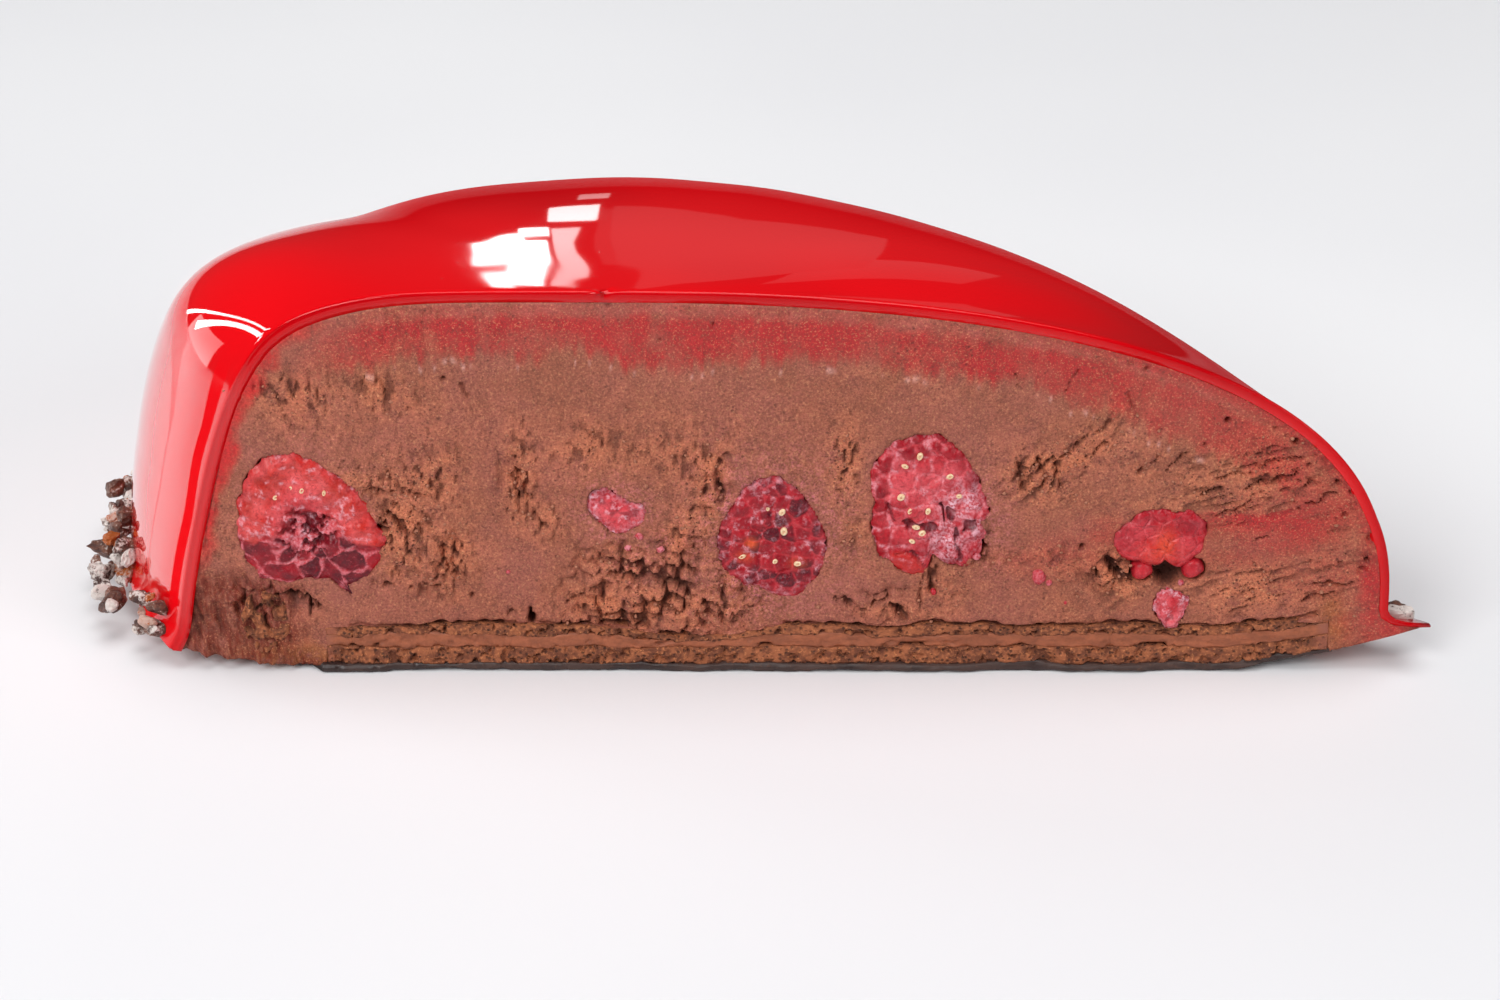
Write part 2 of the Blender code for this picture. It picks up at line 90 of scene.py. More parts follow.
def clouds(x, z, size, seed, octaves=3):
    # Sum of value noises, each half as wide and half as strong as the one before
    return sum(noise(x, z, size / 2 ** n, seed + n) / 2 ** n for n in range(octaves)) * 0.75


def cells(x, z, size, seed):
    # Distances to the nearest and next nearest of one random point in each lattice square, in squares,
    # and a random number that belongs to the nearest point
    draw = np.random.default_rng(seed)
    places, tags = draw.uniform(0.12, 0.88, (128, 128, 2)), draw.uniform(0, 1, (128, 128))
    a, b = x / size + 61.3, z / size + 47.9
    i, j = np.floor(a).astype(int), np.floor(b).astype(int)
    near, after, tag = np.full(a.shape, 9.0), np.full(a.shape, 9.0), np.zeros(a.shape)
    for di in (-1, 0, 1):
        for dj in (-1, 0, 1):
            p, q = (i + di) % 128, (j + dj) % 128
            away = np.hypot(i + di + places[p, q, 0] - a, j + dj + places[p, q, 1] - b)
            closer = away < near
            after = np.where(closer, near, np.minimum(after, away))
            tag = np.where(closer, tags[p, q], tag)
            near = np.where(closer, away, near)
    return near, after, tag


def onCut(u, v):
    # Where the line of sight through a pixel of the photograph meets the cut: across and height in mm
    tilt = math.radians(camera["pitch"])
    across, up = (u - camera["wide"] / 2) / camera["pixels"], (camera["high"] / 2 - v) / camera["pixels"]
    reach = camera["back"] / (math.cos(tilt) + up * math.sin(tilt))
    return across * reach, camera["height"] + (up * math.cos(tilt) - math.sin(tilt)) * reach


def outlineRadius(bearings):
    # The heart's outline about the crown: a circle for the lobe and a cubic curve for the flank
    lobeX = dome["notchX"] + math.sqrt(dome["lobeRadius"] ** 2 - dome["lobeY"] ** 2)
    leave, slope = math.radians(dome["flankLeaves"]), math.radians(dome["pointSlope"])
    notch = math.atan2(-dome["lobeY"], dome["notchX"] - lobeX) % (2 * math.pi)
    turn = np.linspace(leave, notch, 200)
    lobe = np.stack([lobeX + dome["lobeRadius"] * np.cos(turn), dome["lobeY"] + dome["lobeRadius"] * np.sin(turn)])
    point = np.array([[dome["pointX"]], [0.0]])
    fromPoint = point + dome["flankHandle"] * np.array([[-math.cos(slope)], [math.sin(slope)]])
    toLobe = lobe[:, :1] + dome["flankHandle"] * np.array([[math.sin(leave)], [-math.cos(leave)]])
    t = np.linspace(0, 1, 120, endpoint=False)
    flank = ((1 - t) ** 3 * point + 3 * (1 - t) ** 2 * t * fromPoint
             + 3 * (1 - t) * t ** 2 * toLobe + t ** 3 * lobe[:, :1])
    x, y = np.hstack([flank, lobe])
    return np.interp(bearings, np.arctan2(y, x - dome["crownX"]), np.hypot(x - dome["crownX"], y))


def byBearing(bearings, values):
    # Numbers listed by bearing, averaged over a bell of 9 degrees each way
    fine = np.linspace(0, math.pi, 181)
    weights = np.hanning(21)[1:-1]
    padded = np.pad(np.interp(fine, np.radians(dome["bearings"]), values), 9, mode="reflect")
    return np.interp(bearings, fine, np.convolve(padded, weights / weights.sum(), mode="valid"))


def lifted(x, z):
    # Both ends of the cut are bent up by the square of the way to the point and to the notch
    atPoint = np.clip((x - dome["pointLiftFrom"]) / (dome["pointX"] - dome["pointLiftFrom"]), 0, None)
    atNotch = np.clip((dome["notchLiftFrom"] - x) / (dome["notchLiftFrom"] - dome["notchX"]),
                      0, dome["mostNotchLift"])
    lift = dome["pointLift"] * atPoint ** 2 + dome["notchLift"] * atNotch ** 2
    return z + lift * np.clip(1 - z / dome["liftFade"], 0, 1)


def domeSheet(bearings, rings, inset, alongShare, acrossShare, turnShare):
    # Lines from the crown down to the foot, one for each bearing: the quarter of a squared-off circle,
    # (1 - out^top)^(1/side), mixed square to the cut with a parabola. The rings are spaced by a sum of
    # the line's length, its way across and its turning, in the given shares.
    radius = outlineRadius(bearings) - inset
    top, side = byBearing(bearings, dome["topSquareness"]), byBearing(bearings, dome["sideSquareness"])
    fall = dome["crownFall"] * np.sin(bearings) ** 2
    outward = np.linspace(0, 1, 400)[:, None] * 0.5 ** (1 / top)
    downward = np.linspace(1, 0, 400)[1:, None] * 0.5 ** (1 / side)
    out = np.vstack([outward, (1 - downward ** side) ** (1 / top)])
    up = np.vstack([(1 - outward ** top) ** (1 / side), downward])
    full, foot = dome["height"] - inset, dome["foot"]
    height = foot + full * ((1 - fall) * up + fall * (1 - out ** 2)) * (full - foot) / full
    away = out * radius
    slope = np.arctan2(-np.diff(height, axis=0), np.diff(away, axis=0))
    turning = np.zeros_like(away)
    turning[1:-1] = np.cumsum(np.abs(np.diff(slope, axis=0)), axis=0)
    turning[-1] = turning[-2]
    length = np.zeros_like(away)
    length[1:] = np.cumsum(np.hypot(np.diff(away, axis=0), np.diff(height, axis=0)), axis=0)
    # near the notch the shoulder stands out to a firmer corner, along its own normals
    steep, degrees = np.vstack([slope[:1], slope]), np.degrees(bearings)
    firm = (dome["corner"] * bell(degrees, 180, dome["cornerDegrees"])
            * bell(np.degrees(steep), dome["cornerSlope"], dome["cornerTurn"]))
    away, height = away + firm * np.sin(steep), height + firm * np.cos(steep)
    measure = (alongShare * length / length[-1] + acrossShare * away / away[-1]
               + turnShare * turning / turning[-1])
    steps = np.linspace(0, alongShare + acrossShare + turnShare, rings + 1)
    away = np.stack([np.interp(steps, s, a) for s, a in zip(measure.T, away.T)], axis=1)
    height = np.stack([np.interp(steps, s, h) for s, h in zip(measure.T, height.T)], axis=1)
    low = np.clip(1 - (height - foot) / dome["lipHeight"], 0, 1)
    lip = dome["lip"] + dome["pointLip"] * bell(degrees, 0, dome["pointLipDegrees"])
    away = away + lip * low ** dome["lipCurve"]
    return sheetAt(bearings, away, height)


def sheetAt(bearings, away, height):
    # Points at the given distances from the crown and heights, bent up at both ends of the cut
    x = dome["crownX"] + away * np.cos(bearings)
    y = away * np.sin(bearings)
    y[:, 0] = y[:, -1] = 0.0
    return np.stack([x, y, lifted(x, height)], axis=-1)


def awayOf(sheet):
    return np.hypot(sheet[..., 0] - dome["crownX"], sheet[..., 1])


def layerEdge(bearings, grow=0.0):
    # How far the layers under the mousse reach from the crown
    degrees = np.degrees(bearings)
    return (outlineRadius(bearings) - layers["inset"] + grow
            - layers["pointInset"] * bell(degrees, 0, layers["pointDegrees"])
            - layers["notchInset"] * bell(degrees, 180, layers["notchDegrees"]))


def cutBearings(count):
    # Bearings for a sheet, very close together beside the cut so that its rim can be rounded
    close = np.array([0, 0.05, 0.1, 0.2, 0.4, 0.8, 1.5])
    return np.radians(np.concatenate([close, np.linspace(2.6, 177.4, count), 180 - close[::-1]]))


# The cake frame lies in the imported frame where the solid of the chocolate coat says
solidBearings = np.linspace(0, math.pi, 31)
coatLow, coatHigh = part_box("chocolate_base")
coatX = dome["crownX"] + layerEdge(solidBearings, layers["coatOverhang"]) * np.cos(solidBearings)
shift = np.array([coatLow.x * 1000 - coatX.min(), coatLow.y * 1000, 0.0])


def gridFaces(rows, columns, start, flip):
    i, j = np.meshgrid(np.arange(rows - 1), np.arange(columns - 1), indexing="ij")
    a = start + i * columns + j
    quads = np.stack([a, a + 1, a + columns + 1, a + columns], axis=-1).reshape(-1, 4)
    return quads[:, ::-1] if flip else quads


def weld(points, quads, fields):
    # Points less than a thousandth of a millimetre apart become one, and quads that close up become triangles
    _, first, place = np.unique(np.round(points * 1000).astype(np.int64), axis=0,
                                return_index=True, return_inverse=True)
    quads = place.reshape(-1)[quads]
    whole = np.all([quads[:, a] != quads[:, b] for a in range(4) for b in range(a)], axis=0)
    faces = quads[whole].tolist()
    for quad in quads[~whole].tolist():
        kept = list(dict.fromkeys(quad))
        if len(kept) > 2:
            faces.append(kept)
    return points[first], faces, {name: field[first] for name, field in fields.items()}


def placed(name, data):
    made = bpy.data.objects.new(name, data)
    bpy.context.scene.collection.objects.link(made)
    return made


def makePiece(name, grids, material, slotName, replaced=()):
    # grids: point arrays of rows by columns, each with a flip and its fields, joined into one closed mesh
    points, quads, fields, start = [], [], {}, 0
    names = sorted({key for grid in grids for key in grid[2]})
    for shape, flip, given in grids:
        rows, columns = shape.shape[:2]
        points.append(shape.reshape(-1, 3))
        quads.append(gridFaces(rows, columns, start, flip))
        for key in names:
            fields.setdefault(key, []).append(np.broadcast_to(given.get(key, 0.0), (rows, columns)).reshape(-1))
        start += rows * columns
    fields = {key: np.concatenate(values) for key, values in fields.items()}
    points, faces, fields = weld(np.concatenate(points), np.concatenate(quads), fields)
    mesh = bpy.data.meshes.new(name)
    mesh.from_pydata(((points + shift) / 1000).tolist(), [], faces)
    for key, values in fields.items():
        mesh.attributes.new(key, "FLOAT", "POINT").data.foreach_set("value", values.astype(np.float32))
    mesh.shade_smooth()
    mesh.materials.append(material)
    made = placed(name, mesh)
    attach(made, "root")
    if replaced:
        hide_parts(*replaced)
    print(name, len(faces), "faces")
    return made


def ballGrid(rows, columns):
    # Directions over a ball, from its lower to its upper pole
    up = np.linspace(-math.pi / 2, math.pi / 2, rows + 1)[:, None]
    turn = np.linspace(0, 2 * math.pi, columns + 1)[None, :]
    turn = np.where(turn == 2 * math.pi, 0, turn)
    flat = np.cos(up)
    flat[0] = flat[-1] = 0.0
    return np.stack([flat * np.cos(turn), flat * np.sin(turn), np.sin(up) + 0 * turn], axis=-1)


def turned(points, aroundX, aroundY, aroundZ):
    for angle, a, b in ((aroundX, 1, 2), (aroundY, 2, 0), (aroundZ, 0, 1)):
        points = points.copy()
        points[..., a], points[..., b] = (points[..., a] * math.cos(angle) - points[..., b] * math.sin(angle),
                                          points[..., a] * math.sin(angle) + points[..., b] * math.cos(angle))
    return points


def paint(red, green, blue):
    # A colour as it shows on a screen, 0 to 255, to the linear numbers that a shader takes
    return tuple((c / 255 / 12.92) if c < 11 else ((c / 255 + 0.055) / 1.055) ** 2.4
                 for c in (red, green, blue)) + (1.0,)


class Wire:
    # A node's output that can be used in Python sums
    def __init__(self, recipe, socket):
        self.recipe, self.socket = recipe, socket

    def maths(self, operation, *others):
        return self.recipe.node("ShaderNodeMath", {"operation": operation}, dict(enumerate(others)))

    def __add__(self, other):
        return self.maths("ADD", self, other)

    def __sub__(self, other):
        return self.maths("SUBTRACT", self, other)

    def __rsub__(self, other):
        return self.maths("SUBTRACT", other, self)

    def __mul__(self, other):
        return self.maths("MULTIPLY", self, other)

    def most(self, other):
        return self.maths("MAXIMUM", self, other)

    def step(self, low, high):
        # Smooth step: 0 at low, 1 at high
        sockets = {"Value": self, "From Min": low, "From Max": high}
        return self.recipe.node("ShaderNodeMapRange", {"interpolation_type": "SMOOTHSTEP"}, sockets)

    __radd__, __rmul__ = __add__, __mul__


class Recipe:
    # One material and short ways to fill its node tree
    def __init__(self, name):
        self.material = bpy.data.materials.new(name)
        self.material.use_nodes = True
        self.tree = self.material.node_tree
        self.tree.nodes.clear()
        self.place = self.node("ShaderNodeTexCoord", out="Object")

    def node(self, kind, settings=None, sockets=None, out=0):
        made = self.tree.nodes.new(kind)
        for key, value in (settings or {}).items():
            setattr(made, key, value)
        for key, value in (sockets or {}).items():
            if isinstance(value, Wire):
                self.tree.links.new(value.socket, made.inputs[key])
            else:
                made.inputs[key].default_value = value
        return Wire(self, made.outputs[out]) if made.outputs else None

    def field(self, name):
        return self.node("ShaderNodeAttribute", {"attribute_name": name}, out="Fac")

    def stretched(self, x, y, z):
        return self.node("ShaderNodeMapping", sockets={0: self.place, "Scale": (x, y, z)})

    def grain(self, size, detail=3.0, rough=0.6, at=None):
        # Noise of one size in millimetres
        return self.node("ShaderNodeTexNoise", sockets={
            "Vector": at or self.place, "Scale": 1000 / size, "Detail": detail, "Roughness": rough})

    def pores(self, size):
        # Distance to the nearest of random points, one to each cube of the given size in millimetres
        return self.node("ShaderNodeTexVoronoi", sockets={"Vector": self.place, "Scale": 1000 / size})

    def coats(self, colour, *coats):
        # Colours laid over the first one in turn, each with its share
        for second, share in coats:
            colour = self.node("ShaderNodeMix", {"data_type": "RGBA"}, {0: share, 6: colour, 7: second}, out=2)
        return colour

    def shade(self, colour, value):
        # A colour made darker or lighter by a number
        return self.node("ShaderNodeVectorMath", {"operation": "SCALE"}, {0: colour, "Scale": value})

    def finish(self, colour, roughness, height=None, depth=0.1, strength=1.0, fixed=None, dull=None):
        # The surface, with bump of the given depth in mm; where dull is 1 it is matt
        sockets = {"Base Color": colour, "Roughness": roughness, **(fixed or {})}
        if height is not None:
            sockets["Normal"] = self.node("ShaderNodeBump", sockets={
                "Height": height, "Distance": depth / 1000, "Strength": strength})
        shader = self.node("ShaderNodeBsdfPrincipled", sockets=sockets)
        if dull is not None:
            matt = self.node("ShaderNodeBsdfPrincipled", sockets={"Base Color": colour, "Roughness": 0.6,
                                                                  "Specular IOR Level": 0.0})
            shader = self.node("ShaderNodeMixShader", sockets={0: dull, 1: shader, 2: matt})
        self.node("ShaderNodeOutputMaterial", sockets={"Surface": shader})
        return self.material


glaze = {
    # mm: thickness, height of its foot, how far the cut edge is rounded over, how uneven the pour is
    "thick": 1.6, "foot": 0.25, "edgeRound": 0.55, "wobble": 0.05, "rings": 150, "columns": 100,
    "colour": paint(224, 8, 18), "deep": paint(176, 3, 11), "roughness": 0.03, "cut": {"deep": 0.9, "rim": 0.6},
    # painted reflection streaks on the wall by the notch, dark gaps and slits in what it mirrors: heights in mm, and
    # there the bearing and half width in degrees
    "gap": ((18, 30, 38, 44, 49), (178.1, 178.1, 177.9, 177.0, 176.2), (0.9, 0.9, 0.95, 1.2, 1.2)),
    "slit": ((33, 36.6, 41, 45), (171.5, 170.9, 169.1, 166.3), (0.15, 0.45, 0.8, 2.2)),
}


def sheetNormals(sheet):
    # Across both grid directions, upward at the crown where the lines meet
    normals = np.cross(np.gradient(sheet, axis=0), np.gradient(sheet, axis=1))
    size = np.linalg.norm(normals, axis=-1, keepdims=True)
    return np.where(size > 1e-9, normals / np.maximum(size, 1e-9), (0.0, 0.0, 1.0))


def glazeFields(bearings, outer, near):
    # Darker towards the point, painted reflection streaks on the wall by the notch, and painted shade on the far
    # rim, which turns deeper red and matt where the camera sees the surface edge on. Gap and slit hold the
    # distance from a streak's middle in half widths.
    x, z = outer[..., 0], outer[..., 2]
    degrees = np.degrees(bearings) + 0.25 * noise(z, 0 * z, 9.0, 35)
    # painted reflection: coat weight in streaks on the wall, broken by dark matt gaps
    wall = rise(z, 49.5, 43) * rise(z, 4, 12) * (x < -60)
    gap, slit = (np.clip((degrees - np.interp(z, high, middle)) / np.interp(z, high, half), -8, 8)
                 for high, middle, half in (glaze["gap"], glaze["slit"]))
    streak = (0.62 + 0.35 * rise(-gap, 2.0, 3.5)) * rise(degrees, 150, 158)
    # painted shade: the far rim, seen edge on from the camera, gets the deeper red and the matt finish
    sight = outer - np.array([0, -camera["back"], camera["height"]])
    edgeOn = np.abs((sheetNormals(outer) * sight).sum(axis=-1)) / np.linalg.norm(sight, axis=-1)
    top = np.maximum(rise(x, -72, -50) * rise(z, 25, 35), rise(x, 0, 20) * rise(z, 6, 12))
    rim = rise(edgeOn, 0.34, 0.14) * top
    return {"deep": np.maximum(np.maximum(rise(x, 0, 75), rim), 0.9 * rise(near, 0.3, 0.8)),
            "gloss": wall * streak, "wall": wall, "gap": gap, "slit": slit,
            "rim": np.maximum(0.9 * rim, 0.5 * rise(near, 0.2, 0.7))}


def glazeMaterial():
    recipe = Recipe("mirror_glaze")
    colour = recipe.coats(glaze["colour"], (glaze["deep"], recipe.grain(38, 1.0, 0.5).step(0.35, 0.75) * 0.35
                                            + recipe.field("deep") * 0.65))
    # painted reflection: coat weight laid in streaks on the wall by the notch, with dark matt gaps and thinner slits
    # between them
    gap, slit = (streak.maths("ABSOLUTE", streak).step(1.15, 0.85) * recipe.field("wall")
                 for streak in (recipe.field("gap"), recipe.field("slit")))
    gloss = recipe.field("gloss") * (1 - gap) * (1 - slit * 0.6)
    bubbles = recipe.pores(5.5).step(0.035, 0.0)
    # painted shade: the rim field turns the far rim matt
    return recipe.finish(colour, recipe.grain(25, 2.0).step(0.3, 1.2) * 0.05 + glaze["roughness"],
                         recipe.grain(9, 1.0, 0.4) + bubbles * 0.4, depth=0.05, strength=0.35,
                         fixed={"IOR": 1.42, "Coat IOR": 1.9, "Coat Weight": gloss},
                         dull=recipe.field("rim").most(gap * 0.95))


def makeGlaze():
    bearings = cutBearings(glaze["columns"])
    outer, inner = (domeSheet(bearings, glaze["rings"], inset, 1.0, 0.0, 0.8) for inset in (0.0, glaze["thick"]))
    # the rim at the cut is a quarter circle, and a slow noise stands for the uneven pour
    near = np.clip(1 - outer[..., 1] / glaze["edgeRound"], 0, 1)
    rounded = glaze["edgeRound"] * (1 - np.sqrt(1 - near ** 2))
    pour = glaze["wobble"] * clouds(outer[..., 0], outer[..., 1] + outer[..., 2], 17.0, 31, 2)
    outer = outer + sheetNormals(outer) * (pour - rounded)[..., None]
    outer[:, 0, 1] = outer[:, -1, 1] = 0.0
    outer[..., 2] = np.maximum(outer[..., 2], glaze["foot"])
    grids = [(outer, True, glazeFields(bearings, outer, near)), (inner, False, {})]
    for end in (0, -1):
        grids.append((np.stack([outer[:, end], inner[:, end]], axis=1), end < 0, glaze["cut"]))
    grids.append((np.stack([outer[-1], inner[-1]]), True, {}))
    makePiece("mirror_glaze", grids, glazeMaterial(), "glaze", ["glaze"])


# Outlines read along the berries' edges in the photograph, in its pixels; cell and depth in mm
berries = {
    "raspberry_1": {"kind": "fan", "middle": (308, 536), "cell": 2.7, "deep": 6.0, "outline": (
        (295, 451), (272, 454), (250, 471), (242, 492), (238, 519), (240, 542), (248, 564), (262, 578), (283, 582),
        (307, 578), (330, 579), (347, 586), (355, 597), (364, 578), (378, 563), (385, 545), (376, 527), (370, 513),
        (354, 491), (333, 474), (316, 460))},
    "raspberry_2": {"kind": "scrap", "middle": (616, 513), "cell": 1.9, "deep": 3.0, "outline": (
        (591, 492), (603, 488), (616, 496), (629, 503), (644, 507), (645, 520), (632, 530), (617, 534), (603, 525),
        (592, 515), (585, 502))},
    "raspberry_3": {"kind": "frozen", "middle": (771, 538), "cell": 2.3, "deep": 6.0, "outline": (
        (772, 476), (790, 484), (805, 501), (818, 520), (825, 540), (823, 563), (812, 583), (797, 596), (779, 596),
        (759, 587), (739, 581), (726, 571), (718, 554), (718, 534), (727, 515), (740, 496), (754, 483))},
    "raspberry_4": {"kind": "fresh", "middle": (925, 503), "cell": 2.6, "deep": 6.5, "outline": (
        (910, 437), (922, 433), (938, 434), (950, 443), (962, 451), (968, 463), (977, 474), (982, 491), (991, 512),
        (982, 523), (983, 537), (977, 556), (963, 566), (943, 562), (932, 553), (927, 568), (918, 576), (902, 574),
        (891, 564), (879, 556), (874, 538), (872, 520), (876, 504), (870, 486), (870, 469), (881, 457), (892, 443))},
    "raspberry_5": {"kind": "smooth", "middle": (1161, 537), "cell": 2.4, "deep": 3.6, "outline": (
        (1138, 513), (1157, 509), (1176, 513), (1195, 512), (1207, 524), (1205, 538), (1202, 552), (1190, 561),
        (1180, 568), (1166, 561), (1152, 566), (1138, 561), (1123, 558), (1114, 547), (1115, 533), (1124, 526),
        (1133, 521))},
    "raspberry_6": {"kind": "scrap", "middle": (1169, 608), "cell": 1.7, "deep": 2.8, "outline": (
        (1154, 603), (1157, 595), (1168, 590), (1182, 595), (1188, 601), (1185, 611), (1179, 623), (1170, 630),
        (1161, 621), (1155, 613))},
}
balls = ((1142, 572, 1.65), (1193, 570, 1.75))      # loose drupelets: pixel and radius in mm

# Seeds that show at the cut: size, pale and brown colours, and for each its pixel and slope in degrees
seedLook = {"size": (0.6, 0.92), "colour": paint(228, 190, 148), "light": paint(240, 222, 184),
            "dimple": paint(200, 140, 100)}
seeds = ((290, 488, 70), (302, 490, 60), (324, 493, 80), (276, 497, 40),
         (768, 508, 80), (782, 512, 60), (784, 531, 85), (742, 556, 20), (798, 563, 15), (775, 561, 40),
         (920, 456, 70), (905, 466, -25), (901, 497, 40), (950, 476, 30), (910, 511, 70), (928, 511, 75),
         (916, 527, -10), (922, 533, 30), (912, 541, -25), (959, 496, 10))


def outlineOf(berry):
    # The berry's middle in mm, and its outline as angles and distances from that middle
    middleX, middleZ = onCut(*berry["middle"])
    x, z = onCut(*np.array(berry["outline"], float).T)
    angle, away = np.arctan2(z - middleZ, x - middleX), np.hypot(x - middleX, z - middleZ)
    order = np.argsort(angle)
    return middleX, middleZ, angle[order], away[order]


def berryShare(berry, x, z):
    # 0 in the berry's middle, 1 on its outline
    middleX, middleZ, angle, away = outlineOf(berry)
    toward = np.arctan2(z - middleZ, x - middleX)
    return np.hypot(x - middleX, z - middleZ) / np.interp(toward, angle, away, period=2 * math.pi)


def awayFrom(x, z, u, v):
    # Distance in mm to where a pixel's line of sight meets the cut
    placeX, placeZ = onCut(u, v)
    return np.hypot(x - placeX, z - placeZ)


def spots(x, z, places):
    # Soft ellipses: pixel, half width and half height in mm, turn in degrees, strength
    strongest = np.zeros(x.shape)
    for u, v, wide, high, turn, strength in places:
        middleX, middleZ = onCut(u, v)
        c, s = math.cos(math.radians(turn)), math.sin(math.radians(turn))
        along, across = (x - middleX) * c + (z - middleZ) * s, (z - middleZ) * c - (x - middleX) * s
        strongest = np.maximum(strongest, strength * np.exp(-(along / wide) ** 2 - (across / high) ** 2))
    return strongest


def cracks(x, z, places, seed, bend=0.45):
    # Torn lines from one pixel to another: width and depth in mm, narrow at both ends, bent by noise
    deepest = np.zeros(x.shape)
    bentX, bentZ = (along + bend * (noise(x, z, 1.3, seed + a) + 1.6 * noise(x, z, 3.9, seed + b)
                                    + 0.5 * noise(x, z, 0.6, seed + c))
                    for along, a, b, c in ((x, 0, 1, 5), (z, 2, 3, 6)))
    uneven = np.clip(1 + 0.8 * noise(x, z, 1.1, seed + 4), 0.25, 2)
    for u, v, toU, toV, width, depth in places:
        startX, startZ = onCut(u, v)
        endX, endZ = onCut(toU, toV)
        wayX, wayZ = endX - startX, endZ - startZ
        t = np.clip(((bentX - startX) * wayX + (bentZ - startZ) * wayZ) / (wayX ** 2 + wayZ ** 2 + 1e-9), 0, 1)
        away = np.hypot(bentX - startX - t * wayX, bentZ - startZ - t * wayZ)
        thick = width * (0.45 + 0.55 * np.sqrt(4 * t * (1 - t) + 0.15)) * uneven
        deepest = np.maximum(deepest, depth * np.exp(-(away / thick) ** 4))
    return deepest


